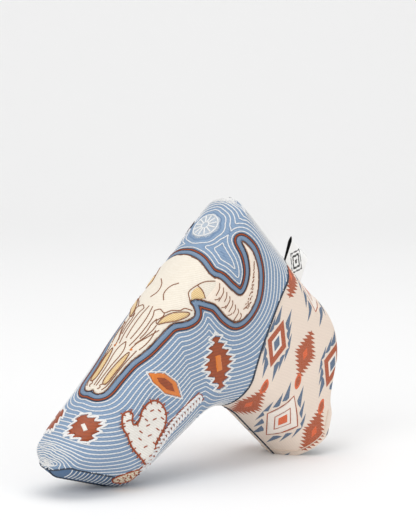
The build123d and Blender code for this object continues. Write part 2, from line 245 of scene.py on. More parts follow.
# runs of the tube's outline: toe, sole, heel, heel fold, two beyond the mouth, neck, underside
beyond = 34.0
tube = [toe, sole, apex, heel, mouth_high, mouth_high + (beyond, -beyond),
        foot + (foot - crotch) / np.linalg.norm(foot - crotch) * beyond, crotch]
tube_radii = [12, 11, 7, 42, 16, 16, 16, 31]
roundness = np.array([1.7, 2.2, 1.6, 4.0, 4.0, 4.0, 1.8, 1.8])
shoulder = np.array([20, 22, 18, 6.0, 6.0, 6.0, 18, 18])
outline, run = rounded_path(tube, tube_radii, 1.2)
edges = []                          # each edge of the pillow: its path, roundness and shoulder width
for first, last in ((-0.5, 0.5), (0.5, 1.5), (1.5, 4.5), (5.5, 7.5)):
    picked = np.flatnonzero((run >= first) & (run <= last) | (run - 8 >= first) & (run - 8 <= last))
    if first < 0:                   # the toe's run starts at the far end of the list
        wrapped = np.flatnonzero(run - 8 >= first)
        picked = np.concatenate([wrapped, np.flatnonzero((run <= last))])
    wheel = np.arange(8)
    edges.append((outline[picked],
                  np.interp(run[picked] % 8, np.append(wheel, 8), np.append(roundness, roundness[0])),
                  np.interp(run[picked] % 8, np.append(wheel, 8), np.append(shoulder, shoulder[0]))))


def fold_length(depth, power, width):
    """Length of fabric from the flat face down to a point that lies depth inside an edge."""
    start = np.arccos(np.clip(1 - depth / width, 0, 1) ** (power / 2))
    angle = start[:, None] + (math.pi / 2 - start[:, None]) * np.linspace(0, 1, 41)
    inward = width[:, None] * (1 - np.clip(np.cos(angle), 0, 1) ** (2 / power[:, None]))
    height = half_depth * np.sin(angle) ** (2 / power[:, None])
    return np.hypot(np.diff(inward, axis=1), np.diff(height, axis=1)).sum(1)


def shape(points):
    """Half the thickness at points of the side view, and where they lie in the flat pattern."""
    points = np.array(points, float)
    total = np.zeros(len(points))
    pattern = points.copy()
    ripple = np.zeros(len(points))
    for path, power, width in edges:
        depth, place = nearest(points, path)
        index = np.arange(len(path))
        e, w = np.interp(place, index, power), np.interp(place, index, width)
        rounding = (1 - np.clip(1 - depth / w, 0, 1) ** e) ** (1 / e)
        total += np.maximum(rounding, 1e-4) ** -4 - 1
        k = np.minimum(place.astype(int), len(path) - 2)
        way = path[k + 1] - path[k]
        way /= np.hypot(way[:, 0], way[:, 1])[:, None]
        inward = np.stack([way[:, 1], -way[:, 0]], 1)
        near = path[k] + (path[k + 1] - path[k]) * (place - k)[:, None]
        firm = depth > 0.5
        inward[firm] = (points[firm] - near[firm]) / depth[firm][:, None]
        inside = depth < w
        extra = np.zeros(len(points))
        extra[inside] = fold_length(depth[inside], e[inside], w[inside]) - (w - depth)[inside]
        pattern -= inward * extra[:, None]
        ripple += np.exp(-depth / 5) * np.sin(place * 1.2 * 2 * math.pi / 7.5 + 1.3) * (e < 2)
    rounding = (total + 1) ** -0.25
    x, z = points[:, 0], points[:, 1]
    wave = np.sin(x / 11 + z / 17) * np.sin(z / 13 - x / 29 + 1) + 0.6 * np.sin(x / 5.3 - z / 7.1)
    return half_depth * rounding + rounding ** 2 * (0.28 * ripple + 0.16 * wave), pattern


def inside_loop(points, loop):
    """Whether each point lies inside a closed loop."""
    found = np.zeros(len(points), bool)
    for (x0, y0), (x1, y1) in zip(loop, np.roll(loop, -1, 0)):
        if y0 != y1:
            crosses = (y0 > points[:, 1]) != (y1 > points[:, 1])
            found ^= crosses & (points[:, 0] < x0 + (points[:, 1] - y0) * (x1 - x0) / (y1 - y0))
    return found


def triangulated(points, lines):
    """Triangles between loose points and lines, with every line kept as an edge. A line is a
    list of points and whether it closes."""
    points = [Vector(p) for p in points]
    ties = []
    for line, closed in lines:
        first = len(points)
        points += [Vector(p) for p in line]
        ties += [(first + i, first + i + 1) for i in range(len(line) - 1)]
        if closed:
            ties.append((len(points) - 1, first))
    made = geometry.delaunay_2d_cdt(points, ties, [], 0, 1e-5)
    return np.array(made[0]), np.array(made[2])


# seam between pocket and neck, in a coordinate pair along the heel edge and in from it
def on_heel(along, inward):
    return step(step(apex, along, heel_way), inward, heel_way - 90)


join_points = np.array([on_heel(47.0, -12), on_heel(47.0, -8), on_heel(51.5, 20), on_heel(56.5, 38),
                        on_heel(66.5, 66), on_heel(80.0, 92), on_heel(81, 94)])


def smooth(points, spacing=1.0, closed=False):
    """A rounded curve through given points, evenly divided."""
    points = np.array(points, float)
    if closed:
        ring = np.concatenate([points[-1:], points, points[:2]])
    else:
        ring = np.concatenate([2 * points[:1] - points[1:2], points, 2 * points[-1:] - points[-2:-1]])
    fine = []
    for a, b, c, d in zip(ring[:-3], ring[1:-2], ring[2:-1], ring[3:]):
        t = np.linspace(0, 1, 24, endpoint=False)[:, None]
        fine.append(0.5 * (2 * b + (c - a) * t + (2 * a - 5 * b + 4 * c - d) * t ** 2
                           + (3 * b - a - 3 * c + d) * t ** 3))
    fine = np.concatenate(fine + ([] if closed else [points[-1:]]))
    return divided(fine, spacing, closed)


def divided(points, spacing, closed=False):
    """The same run of points, evenly divided."""
    points = np.array(points, float)
    if closed:
        points = np.concatenate([points, points[:1]])
    far = np.concatenate([[0], np.cumsum(np.linalg.norm(np.diff(points, axis=0), axis=1))])
    count = max(2, int(round(far[-1] / spacing)))
    marks = np.linspace(0, far[-1], count + 1)[:count if closed else None]
    return np.stack([np.interp(marks, far, points[:, i]) for i in range(points.shape[1])], 1)


join_line = smooth(join_points, 1.0)
wide = 400.0
trim = np.array([(-wide, 0), (foot[0] + foot_flat, 0), mouth_low, mouth_high, (wide, mouth_high[1]),
                 (wide, wide), (-wide, wide)])
mouth_cut = divided([(foot[0] - 14, 0), (foot[0] + foot_flat, 0), mouth_low, mouth_high, mouth_high + (14, 0)], 1.0)
flap_low, flap_high = mouth_high[1] + 0.5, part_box("flap_binding")[1].z * 1000
bend_x = hinge_x - 6.0              # where the neck's front begins to turn with the flap

spacing = 1.0
ring_angles = np.arange(1, 14) * math.pi / 2 / 15
loose = []
far_out = np.roll(outline, -1, 0) - np.roll(outline, 1, 0)
inward = np.stack([far_out[:, 1], -far_out[:, 0]], 1) / np.hypot(*far_out.T)[:, None]
for depth in 20 * (1 - np.cos(ring_angles)):
    ring = outline + inward * depth
    true_depth, _ = nearest(ring, np.concatenate([outline, outline[:1]]))
    loose.append(ring[(true_depth > depth - 0.03) & inside_loop(ring, outline)])
last_depth = 20 * (1 - math.cos(ring_angles[-1]))
xs, zs = np.meshgrid(np.arange(outline[:, 0].min(), outline[:, 0].max(), spacing),
                     np.arange(outline[:, 1].min(), outline[:, 1].max(), spacing))
grid = np.stack([xs.ravel() + 0.5 * spacing * (np.round(zs.ravel() / spacing) % 2), zs.ravel()], 1)
grid = grid[inside_loop(grid, outline)]
true_depth, _ = nearest(grid, np.concatenate([outline, outline[:1]]))
loose.append(grid[true_depth > last_depth + 0.6 * spacing])
loose = np.concatenate(loose)
reach_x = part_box("flap_binding")[0].x * 1000
flap_cut, _ = rounded_path([(reach_x, flap_low), (reach_x, flap_high), (reach_x + 90, flap_high),
                            (reach_x + 90, flap_low)], [10, 10, 2, 2], 1.0)
lines = [(outline, True), (join_line, False), (mouth_cut, False), (flap_cut, True),
         (divided([(bend_x, flap_low), (bend_x, flap_high)], 1.0), False),
         (divided([(hinge_x, flap_low), (hinge_x, flap_high)], 1.0), False)]
plan, facets = triangulated(loose, lines)
centres = plan[facets].mean(1)
kept = inside_loop(centres, outline) & inside_loop(centres, trim)
facets, centres = facets[kept], centres[kept]
used, facets = np.unique(facets, return_inverse=True)
facets = facets.reshape(-1, 3)
plan = plan[used]
depth_at, pattern = shape(plan)
from_edge, _ = nearest(plan, np.concatenate([outline, outline[:1]]))
on_fold = from_edge < 0.02
depth_at[on_fold] = 0


def normals_of(points, faces):
    """Unit normals at the points of a mesh."""
    face = np.cross(points[faces[:, 1]] - points[faces[:, 0]], points[faces[:, 2]] - points[faces[:, 0]])
    total = np.zeros_like(points)
    for corner in range(3):
        np.add.at(total, faces[:, corner], face)
    return total / np.maximum(np.linalg.norm(total, axis=1), 1e-12)[:, None]


front_skin = np.stack([plan[:, 0], -depth_at, plan[:, 1]], 1)
back_skin = front_skin * (1, -1, 1)
front_lean = normals_of(front_skin, facets)
front_lean[on_fold, 1] = 0
front_lean /= np.linalg.norm(front_lean, axis=1)[:, None]
back_lean = front_lean * (1, -1, 1)
flat_tree = BVHTree.FromPolygons([(x, z, 0) for x, z in pattern], facets.tolist())


def lay(points, back=False, lift=0.0, tree=flat_tree, among=facets):
    """Puts points of the flat pattern on the stuffed cover, lifted off its surface. back says
    which of them lie on the back face, and tree and among can narrow the facets they may use."""
    hits = np.array([tree.find_nearest((x, z, 0))[2] for x, z in points])
    corner = pattern[among[hits]]
    ab, ac, ap = corner[:, 1] - corner[:, 0], corner[:, 2] - corner[:, 0], np.asarray(points) - corner[:, 0]
    area = ab[:, 0] * ac[:, 1] - ab[:, 1] * ac[:, 0]
    area = np.where(np.abs(area) < 1e-12, 1e-12, area)
    second = np.clip((ap[:, 0] * ac[:, 1] - ap[:, 1] * ac[:, 0]) / area, 0, 1)
    third = np.clip((ab[:, 0] * ap[:, 1] - ab[:, 1] * ap[:, 0]) / area, 0, 1)
    share = np.stack([1 - second - third, second, third], 1)
    place = (front_skin[among[hits]] * share[:, :, None]).sum(1)
    lean = (front_lean[among[hits]] * share[:, :, None]).sum(1)
    lean /= np.linalg.norm(lean, axis=1)[:, None]
    turned = np.where(np.broadcast_to(back, len(points)), -1.0, 1.0)[:, None] * (0, 1, 0) + (1, 0, 1)
    return (place + lean * np.broadcast_to(lift, len(points))[:, None]) * turned, lean * turned


def add_piece(name, points, faces, material, body, uv=None, weld=0.02):
    """A finished piece from points in millimetres about the cover's middle plane. Its UV map
    "pattern" holds the flat pattern in millimetres."""
    mesh = bpy.data.meshes.new(name)
    mesh.from_pydata([Vector(p) for p in (np.asarray(points) + (0, middle, 0)) / 1000], [],
                     [list(map(int, f)) for f in faces])
    if uv is not None:
        corner = np.zeros(len(mesh.loops), int)
        mesh.loops.foreach_get("vertex_index", corner)
        layer = mesh.uv_layers.new(name="pattern")
        layer.data.foreach_set("uv", np.asarray(uv, float)[corner].ravel())
    piece = bpy.data.objects.new(name, mesh)
    bpy.context.scene.collection.objects.link(piece)
    if weld:
        soft = bmesh.new()
        soft.from_mesh(mesh)
        bmesh.ops.remove_doubles(soft, verts=soft.verts, dist=weld / 1000)
        soft.to_mesh(mesh)
        soft.free()
    mesh.polygons.foreach_set("use_smooth", [True] * len(mesh.polygons))
    mesh.materials.append(material)
    if body:
        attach(piece, body)
    return piece


def both_sides(faces_front, faces_back):
    """Points, faces and pattern of a piece that covers parts of both faces."""
    count = len(plan)
    points = np.concatenate([front_skin, back_skin])
    faces = np.concatenate([faces_front, faces_back[:, ::-1] + count])
    used, faces = np.unique(faces, return_inverse=True)
    return points[used], faces.reshape(-1, 3), used


# ---- Threads, cords and piping --------------------------------------------------------------
# Whatever runs along a line on the cover is one Geometry Nodes tree: it sweeps a flattened
# round section along the line, swells it once per stitch, and keeps the length sewn so far.

def socket_id(tree, name):
    return [item.identifier for item in tree.interface.items_tree
            if item.item_type == "SOCKET" and item.in_out == "INPUT" and item.name == name][0]


sewn = bpy.data.node_groups.new("sewn_line", "GeometryNodeTree")
for socket, kind in (("Line", "Geometry"), ("Half width", "Float"), ("Half height", "Float"), ("Stitch", "Float"),
                     ("Swell", "Float"), ("Sides", "Int"), ("Finish", "Material")):
    sewn.interface.new_socket(socket, in_out="INPUT", socket_type="NodeSocket" + kind)
sewn.interface.new_socket("Sewn", in_out="OUTPUT", socket_type="NodeSocketGeometry")
given = node(sewn, "NodeGroupInput").outputs
course = node(sewn, "GeometryNodeMeshToCurve", {"Mesh": given["Line"]})
quarter = node(sewn, "ShaderNodeMath", {0: given["Stitch"], 1: 0.25}, operation="MULTIPLY")
even = node(sewn, "GeometryNodeResampleCurve", {"Curve": course.outputs[0], "Length": quarter.outputs[0]},
            mode="LENGTH")
lean = node(sewn, "GeometryNodeInputNamedAttribute", {"Name": "lean"}, data_type="FLOAT_VECTOR")
stood = node(sewn, "GeometryNodeSetCurveNormal", {"Curve": even.outputs[0], "Normal": lean.outputs[0]}, mode="FREE")
sewn_so_far = node(sewn, "GeometryNodeSplineParameter")
kept_length = node(sewn, "GeometryNodeStoreNamedAttribute",
                   {"Geometry": stood.outputs[0], "Name": "sewn", "Value": sewn_so_far.outputs["Length"]},
                   data_type="FLOAT", domain="POINT")
in_stitch = node(sewn, "ShaderNodeMath", {0: sewn_so_far.outputs["Length"], 1: given["Stitch"]}, operation="DIVIDE")
half_turn = node(sewn, "ShaderNodeMath", {0: in_stitch.outputs[0], 1: math.pi}, operation="MULTIPLY")
hump = node(sewn, "ShaderNodeMath", {0: half_turn.outputs[0]}, operation="SINE")
bulge = node(sewn, "ShaderNodeMath", {0: hump.outputs[0]}, operation="ABSOLUTE")
thick = node(sewn, "ShaderNodeMath", {0: bulge.outputs[0], 1: given["Swell"], 2: 1.0}, operation="MULTIPLY_ADD")
swollen = node(sewn, "GeometryNodeSetCurveRadius", {"Curve": kept_length.outputs[0], "Radius": thick.outputs[0]})
ring = node(sewn, "GeometryNodeCurvePrimitiveCircle", {"Resolution": given["Sides"], "Radius": 1.0}, mode="RADIUS")
section = node(sewn, "ShaderNodeCombineXYZ", {"X": given["Half height"], "Y": given["Half width"], "Z": 1.0})
pressed = node(sewn, "GeometryNodeTransform", {"Geometry": ring.outputs[0], "Scale": section.outputs[0]})
swept = node(sewn, "GeometryNodeCurveToMesh", {"Curve": swollen.outputs[0], "Profile Curve": pressed.outputs[0],
                                               "Fill Caps": True})
if "Scale" in swept.inputs:
    sewn.links.new(thick.outputs[0], swept.inputs["Scale"])
rounded = node(sewn, "GeometryNodeSetShadeSmooth", {"Geometry": swept.outputs[0]})
real = node(sewn, "GeometryNodeRealizeInstances", {"Geometry": rounded.outputs[0]})
dressed = node(sewn, "GeometryNodeSetMaterial", {"Geometry": real.outputs[0], "Material": given["Finish"]})
node(sewn, "NodeGroupOutput", {"Sewn": dressed.outputs[0]})


def sew(name, points, ties, leans, material, body, slot, half_width, half_height=None, stitch=2.0, swell=0.25,
        sides=6):
    """Sews a piece along edges between points, in millimetres about the middle plane."""
    mesh = bpy.data.meshes.new(name)
    mesh.from_pydata([Vector(p) for p in (np.asarray(points) + (0, middle, 0)) / 1000],
                     [map(int, t) for t in ties], [])
    mesh.attributes.new("lean", "FLOAT_VECTOR", "POINT").data.foreach_set("vector", np.asarray(leans, float).ravel())
    holder = bpy.data.objects.new(name + "_line", mesh)
    bpy.context.scene.collection.objects.link(holder)
    modifier = holder.modifiers.new("sewn", "NODES")
    modifier.node_group = sewn
    for socket, value in (("Half width", half_width / 1000), ("Half height", (half_height or half_width) / 1000),
                          ("Stitch", stitch / 1000), ("Swell", swell), ("Sides", sides), ("Finish", material)):
        modifier[socket_id(sewn, socket)] = value
    made = bpy.data.meshes.new_from_object(holder.evaluated_get(bpy.context.evaluated_depsgraph_get()))
    bpy.data.objects.remove(holder)
    made.name = name
    piece = bpy.data.objects.new(name, made)
    bpy.context.scene.collection.objects.link(piece)
    if body:
        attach(piece, body)
    return piece


def joined(runs, closed=False):
    """Points, edges and leans of several laid runs as one set."""
    points = np.concatenate([p for p, _ in runs])
    leans = np.concatenate([n for _, n in runs])
    ties, first = [], 0
    for p, _ in runs:
        ties += [(first + i, first + i + 1) for i in range(len(p) - 1)]
        if closed:
            ties.append((first + len(p) - 1, first))
        first += len(p)
    return points, ties, leans


def level_lines(skin, leans, value, levels, faces, lift, keep=None):
    """Lines of equal value across a surface, as points, edges and leans. keep chooses edges by
    the places of their middles in the list of faces."""
    found, points, normals, ties = {}, [], [], []
    for level in levels:
        above = value[faces] > level
        cut = np.flatnonzero(above.any(1) & ~above.all(1))
        for f in cut:
            ends = []
            a, b, c = (int(i) for i in faces[f])
            for i, j in ((a, b), (b, c), (c, a)):
                if (value[i] > level) != (value[j] > level):
                    key = (min(i, j), max(i, j), level)
                    if key not in found:
                        t = (level - value[key[0]]) / (value[key[1]] - value[key[0]])
                        found[key] = len(points)
                        n = leans[key[0]] * (1 - t) + leans[key[1]] * t
                        n = n / np.linalg.norm(n)
                        points.append(skin[key[0]] * (1 - t) + skin[key[1]] * t + n * lift)
                        normals.append(n)
                    ends.append(found[key])
            if keep is None or keep[f]:
                ties.append(tuple(ends))
    return np.array(points), ties, np.array(normals)


# ---- Blade pocket -----------------------------------------------------------------------------
# Cotton twill wrapped round the sole fold, backed by foam and quilted all over with a white
# thread that follows the motifs at an even distance. Its seams are along the toe and underside.

sole_along = step((0, 0), 1, sole_way)
sole_in = step((0, 0), 1, sole_way - 90)
sole_wrap = fold_length(np.zeros(1), np.array([2.2]), np.array([22.0]))[0] - 22.0


def on_pocket(points):
    """Flat pattern places from pairs: along the sole, and round from the middle of its fold,
    positive on the front. Also says which are on the back."""
    points = np.asarray(points, float)
    inward = np.abs(points[:, 1]) - sole_wrap
    return sole + points[:, :1] * sole_along + inward[:, None] * sole_in, points[:, 1] < 0


def pocket_places(back):
    """The pair, as on_pocket takes it, of every point of one face."""
    gap = pattern - sole
    return np.stack([gap @ sole_along, (gap @ sole_in + sole_wrap) * (-1 if back else 1)], 1)


# a longhorn skull seen from above, its middle a little to the front of the fold, with one horn
# reaching down each face: pairs along the sole and out from the skull's middle
skull_middle = 3.5
half_skull = smooth([(54.0, 0), (52.6, 2.2), (53.0, 5.0), (56.5, 7.2), (66, 8.0), (76, 9.2), (86, 12.2), (98, 14.0),
                     (106, 15.5), (112, 20.5), (117.5, 22.6), (120.5, 20), (122, 16.5), (125, 18), (128, 22.3),
                     (134, 23.5), (140.5, 22.5), (141.5, 16), (144.8, 8), (146, 0)], 0.8)
skull_loop = np.concatenate([half_skull, half_skull[-2:0:-1] * (1, -1)]) + (0, skull_middle)
horn_shape = smooth([(127.5, 20), (130.5, 29), (131, 39), (134, 47), (141.5, 50.3), (152, 48.8), (162, 41),
                     (167.3, 30), (167.6, 20.5), (163.8, 28), (158, 35.5), (150.5, 39.5), (145.2, 38.5), (143.2, 31),
                     (141.3, 20)], 0.8, closed=True)
horn_loops = {"front": horn_shape + (0, skull_middle), "back": horn_shape * (1, -1) + (0, skull_middle)}


def distance_to(points, loop):
    """Distance from points to a closed shape, nought inside it."""
    distance, _ = nearest(points, np.concatenate([loop, loop[:1]]))
    distance[inside_loop(points, loop)] = 0
    return distance


def turned(shape, centre, angle):
    """A small shape moved to its centre and turned, in degrees."""
    c, s = math.cos(math.radians(angle)), math.sin(math.radians(angle))
    return np.array(shape, float) @ np.array(((c, s), (-s, c))) + centre


def stepped(height, width, steps, spike=0.0):
    """A diamond whose sides climb in steps, each step drawn out sideways to a sharp point."""
    corner = [(0.0, width * 0.86)]
    for i in range(steps):
        side = width * (1 - (i + 0.5) / steps)
        corner.append((height * (i + 0.30) / steps, side + spike * 1.6))
        corner.append((height * (i + 0.80) / steps, side - spike * 0.8))
    corner.append((height, 0.4))
    corner = np.array(corner)
    whole = [corner, (corner * (-1, 1))[::-1], corner * (-1, -1), (corner * (1, -1))[::-1]]
    whole = [whole[0], whole[3], whole[2], whole[1]]
    points = np.concatenate(whole)
    away = np.linalg.norm(points - np.roll(points, 1, 0), axis=1)
    return points[away > 1e-6]


upright = 90 - sole_way              # turns a shape's long axis from the sole's line to upright
big_diamond = turned(stepped(15.6, 8.8, 4, 2.4), (110.4, 56.2), -upright - 8)
small_diamond = turned(stepped(8.6, 8.8, 3, 2.2), (33.0, 12.5), -upright)
lozenge = np.array([(76.4, 23.0), (82.6, 30.5), (84.6, 40.5), (80.9, 49.0), (75.2, 38.5), (74.3, 28.5)])
cactus_shape = smooth([(46.1, 27.3), (50.1, 24.9), (53.4, 26.2), (53.8, 29.0), (51.0, 31.0), (50.4, 33.2),
                       (53.6, 34.6), (59.5, 32.3), (66.6, 33.8), (69.6, 39), (68.6, 45.4), (63.7, 49.8),
                       (57.5, 51.0), (52.4, 52.2), (49.0, 57), (43.4, 60.0), (41.8, 55), (41.3, 47.8), (41.4, 41),
                       (42.6, 36.4), (43.8, 33.4), (44.2, 30.2)], 0.8, closed=True)
mound_shape = smooth([(42.6, 58.4), (37, 62.5), (28.3, 61.5), (22.6, 56.5), (24.0, 51.6), (31, 52.4),
                      (38, 56.4)], 0.8,
                     closed=True)
rope_line = smooth([(91.0, 59.5), (80, 56.6), (68, 54.4), (57, 54.4), (47, 56.8), (36, 60.5)], 0.6)
rope_half = 2.5
rosette_place, rosette_radius = (166.5, 1.0), 8.2
round_about = np.linspace(0, 2 * math.pi, 96, endpoint=False)
rosette_edge = rosette_radius * (1 + 0.10 * np.abs(np.cos(4 * round_about)))
rosette_loop = np.stack([rosette_edge * np.cos(round_about), rosette_edge * np.sin(round_about)], 1) + rosette_place
motifs = {"diamond": [big_diamond, small_diamond], "rhombus": [lozenge], "cactus": [cactus_shape]}

border = 3.7                         # skull edge to the middle of the rust line round it
quilt_pitch = 2.35
heel_side = np.concatenate([join_line, [(-wide, -wide), (-wide, wide), (join_line[0, 0], wide)]])
in_pocket = inside_loop(centres, heel_side)
pocket_facets = facets[in_pocket]
toe_strip = 5.5                      # width of the strip between the toe's edge and its stitch line
toe_edge = outline[(run <= 0.12) | (run >= 7.6)]
toe_edge = toe_edge[np.argsort(-toe_edge[:, 0])]
toe_gap, _ = nearest(plan, toe_edge)
skull_gap, quilt_gap = {}, {}
for side in ("front", "back"):
    places = pocket_places(side == "back")
    gap = np.minimum(distance_to(places, skull_loop),
                     np.minimum(distance_to(places, horn_loops["front"]), distance_to(places, horn_loops["back"])))
    skull_gap[side] = gap
    weave = 0.9 * np.sin(places[:, 0] / 6.5) * np.sin(np.abs(places[:, 1]) / 8 + 0.7) * np.clip(gap / 25, 0, 1)
    ringed = distance_to(places, rosette_loop) + border - 1.6
    quilt_gap[side] = np.minimum(gap, ringed) + weave

points, faces, used = both_sides(pocket_facets, pocket_facets)
gaps = np.concatenate([skull_gap["front"], skull_gap["back"]])[used]
quilts = np.concatenate([quilt_gap["front"], quilt_gap["back"]])[used]
uv = np.concatenate([pocket_places(False), pocket_places(True)])[used]

# slate-blue cotton twill: fine diagonal ribs, drawn twice their real 0.4 mm so that they show,
# matt with the faint sheen of combed cotton; the quilting's soft valleys are painted shade, a darker blue along each
# quilting thread
twill, tree, shader = new_material("slate_blue_cotton_twill")
flat = node(tree, "ShaderNodeUVMap", uv_map="pattern").outputs[0]
ribs = node(tree, "ShaderNodeMapping", {"Vector": flat, "Rotation": (0, 0, math.radians(52))})
rib_pitch = 0.85
rib = node(tree, "ShaderNodeTexWave", {"Vector": ribs.outputs[0], "Scale": 0.314 / rib_pitch, "Distortion": 0.6,
                                       "Detail": 1.0, "Detail Scale": 3.0})
cloudy = node(tree, "ShaderNodeTexNoise", {"Vector": flat, "Scale": 0.16, "Detail": 4.0})
fibres = node(tree, "ShaderNodeTexNoise", {"Vector": flat, "Scale": 2.6, "Detail": 3.0})
blues = node(tree, "ShaderNodeMix", {0: rib.outputs["Fac"], 6: linear("#6A83A1"), 7: linear("#91A6BF")},
             data_type="RGBA")
patchy = node(tree, "ShaderNodeMapRange", {"Value": cloudy.outputs[0], "From Min": 0.3, "From Max": 0.7,
                                           "To Min": 0.0, "To Max": 0.5})
faded = node(tree, "ShaderNodeMix", {0: patchy.outputs[0], 6: blues.outputs[2], 7: linear("#7C95B2")},
             data_type="RGBA")
# painted shade: the strip between the toe's edge and its stitch line is painted a darker blue, as the shade on that
# downward-turned strip
to_toe = node(tree, "ShaderNodeAttribute", attribute_name="toe_gap")
toe_strip_shade_share = node(tree, "ShaderNodeMapRange", {"Value": to_toe.outputs["Fac"], "From Min": toe_strip - 0.2,
                                             "From Max": toe_strip + 0.2, "To Min": 1.0, "To Max": 0.0})
# painted shade: the blue is darkened along each quilting thread, where the valley it pulls into the cloth would be
# shaded
row_phase = node(tree, "ShaderNodeAttribute", attribute_name="quilt_gap")
row_turn = node(tree, "ShaderNodeMath", {0: row_phase.outputs["Fac"], 1: 2 * math.pi / quilt_pitch,
                                         2: -2 * math.pi * (border + 1.7) / quilt_pitch}, operation="MULTIPLY_ADD")
row_wave = node(tree, "ShaderNodeMath", {0: row_turn.outputs[0]}, operation="COSINE")
quilt_valley_shade_share = node(tree, "ShaderNodeMapRange", {"Value": row_wave.outputs[0], "From Min": 0.1, "From Max": 1.0,
                                              "To Min": 0.0, "To Max": 0.55})
sunk = node(tree, "ShaderNodeMix", {0: quilt_valley_shade_share.outputs[0], 6: faded.outputs[2], 7: linear("#4F6C90")},
            data_type="RGBA")
toe_strip_painted_shade = node(tree, "ShaderNodeMix", {0: toe_strip_shade_share.outputs[0], 6: sunk.outputs[2], 7: linear("#4F6C8E")},
             data_type="RGBA")
to_skull = node(tree, "ShaderNodeAttribute", attribute_name="skull_gap")
halo = node(tree, "ShaderNodeMapRange", {"Value": to_skull.outputs["Fac"], "From Min": border - 0.5,
                                         "From Max": border - 0.4, "To Min": 0.75, "To Max": 0.0})
edged = node(tree, "ShaderNodeMix", {0: halo.outputs[0], 6: toe_strip_painted_shade.outputs[2], 7: linear("#9DB2CA")},
             data_type="RGBA")
tree.links.new(edged.outputs[2], shader.inputs["Base Color"])
relief = node(tree, "ShaderNodeMath", {0: rib.outputs["Fac"], 1: 0.5, 2: fibres.outputs[0]},
              operation="MULTIPLY_ADD")
bumped = node(tree, "ShaderNodeBump", {"Strength": 0.55, "Distance": 0.00025, "Height": relief.outputs[0]})
tree.links.new(bumped.outputs[0], shader.inputs["Normal"])
shader.inputs["Roughness"].default_value = 0.85
shader.inputs["Sheen Weight"].default_value = 0.06
shader.inputs["Sheen Roughness"].default_value = 0.5
pocket = add_piece("blade_panel_cover", points, faces, twill, None, uv, weld=0)
for name, values in (("skull_gap", gaps), ("quilt_gap", quilts), ("toe_gap", np.tile(toe_gap, 2)[used])):
    pocket.data.attributes.new(name, "FLOAT", "POINT").data.foreach_set("value", values.astype(np.float32))
soft = bmesh.new()
soft.from_mesh(pocket.data)
bmesh.ops.remove_doubles(soft, verts=soft.verts, dist=0.00002)
soft.to_mesh(pocket.data)
soft.free()
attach(pocket, "cover")
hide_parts("blade_panel", "blade_padding")


def thread(name, colour, shade, roughness=0.55):
    """Polyester or rayon embroidery thread: a soft shine, with twist lines across it."""
    material, tree, shader = new_material(name)
    run_off = node(tree, "ShaderNodeAttribute", attribute_name="sewn")
    lines = node(tree, "ShaderNodeMath", {0: run_off.outputs["Fac"], 1: 2 * math.pi / 0.00055}, operation="MULTIPLY")
    twist = node(tree, "ShaderNodeMath", {0: lines.outputs[0]}, operation="SINE")
    share = node(tree, "ShaderNodeMapRange", {"Value": twist.outputs[0], "From Min": -1.0, "From Max": 1.0})
    mixed = node(tree, "ShaderNodeMix", {0: share.outputs[0], 6: linear(shade), 7: linear(colour)}, data_type="RGBA")
    tree.links.new(mixed.outputs[2], shader.inputs["Base Color"])
    relief = node(tree, "ShaderNodeBump", {"Strength": 0.5, "Distance": 0.0001, "Height": share.outputs[0]})
    tree.links.new(relief.outputs[0], shader.inputs["Normal"])
    shader.inputs["Roughness"].default_value = roughness
    shader.inputs["Sheen Weight"].default_value = 0.05
    return material


white_thread = thread("white_polyester_thread", "#F4F3F0", "#CBCCCE")
rust_thread = thread("rust_rayon_thread", "#B04C18", "#84360C")
brown_thread = thread("brown_rayon_thread", "#94582E", "#6E3F1F")
satin_thread = thread("slate_satin_stitch", "#8299B4", "#4F6882", 0.42)
dark_thread = thread("dark_blue_thread", "#27374B", "#182434")

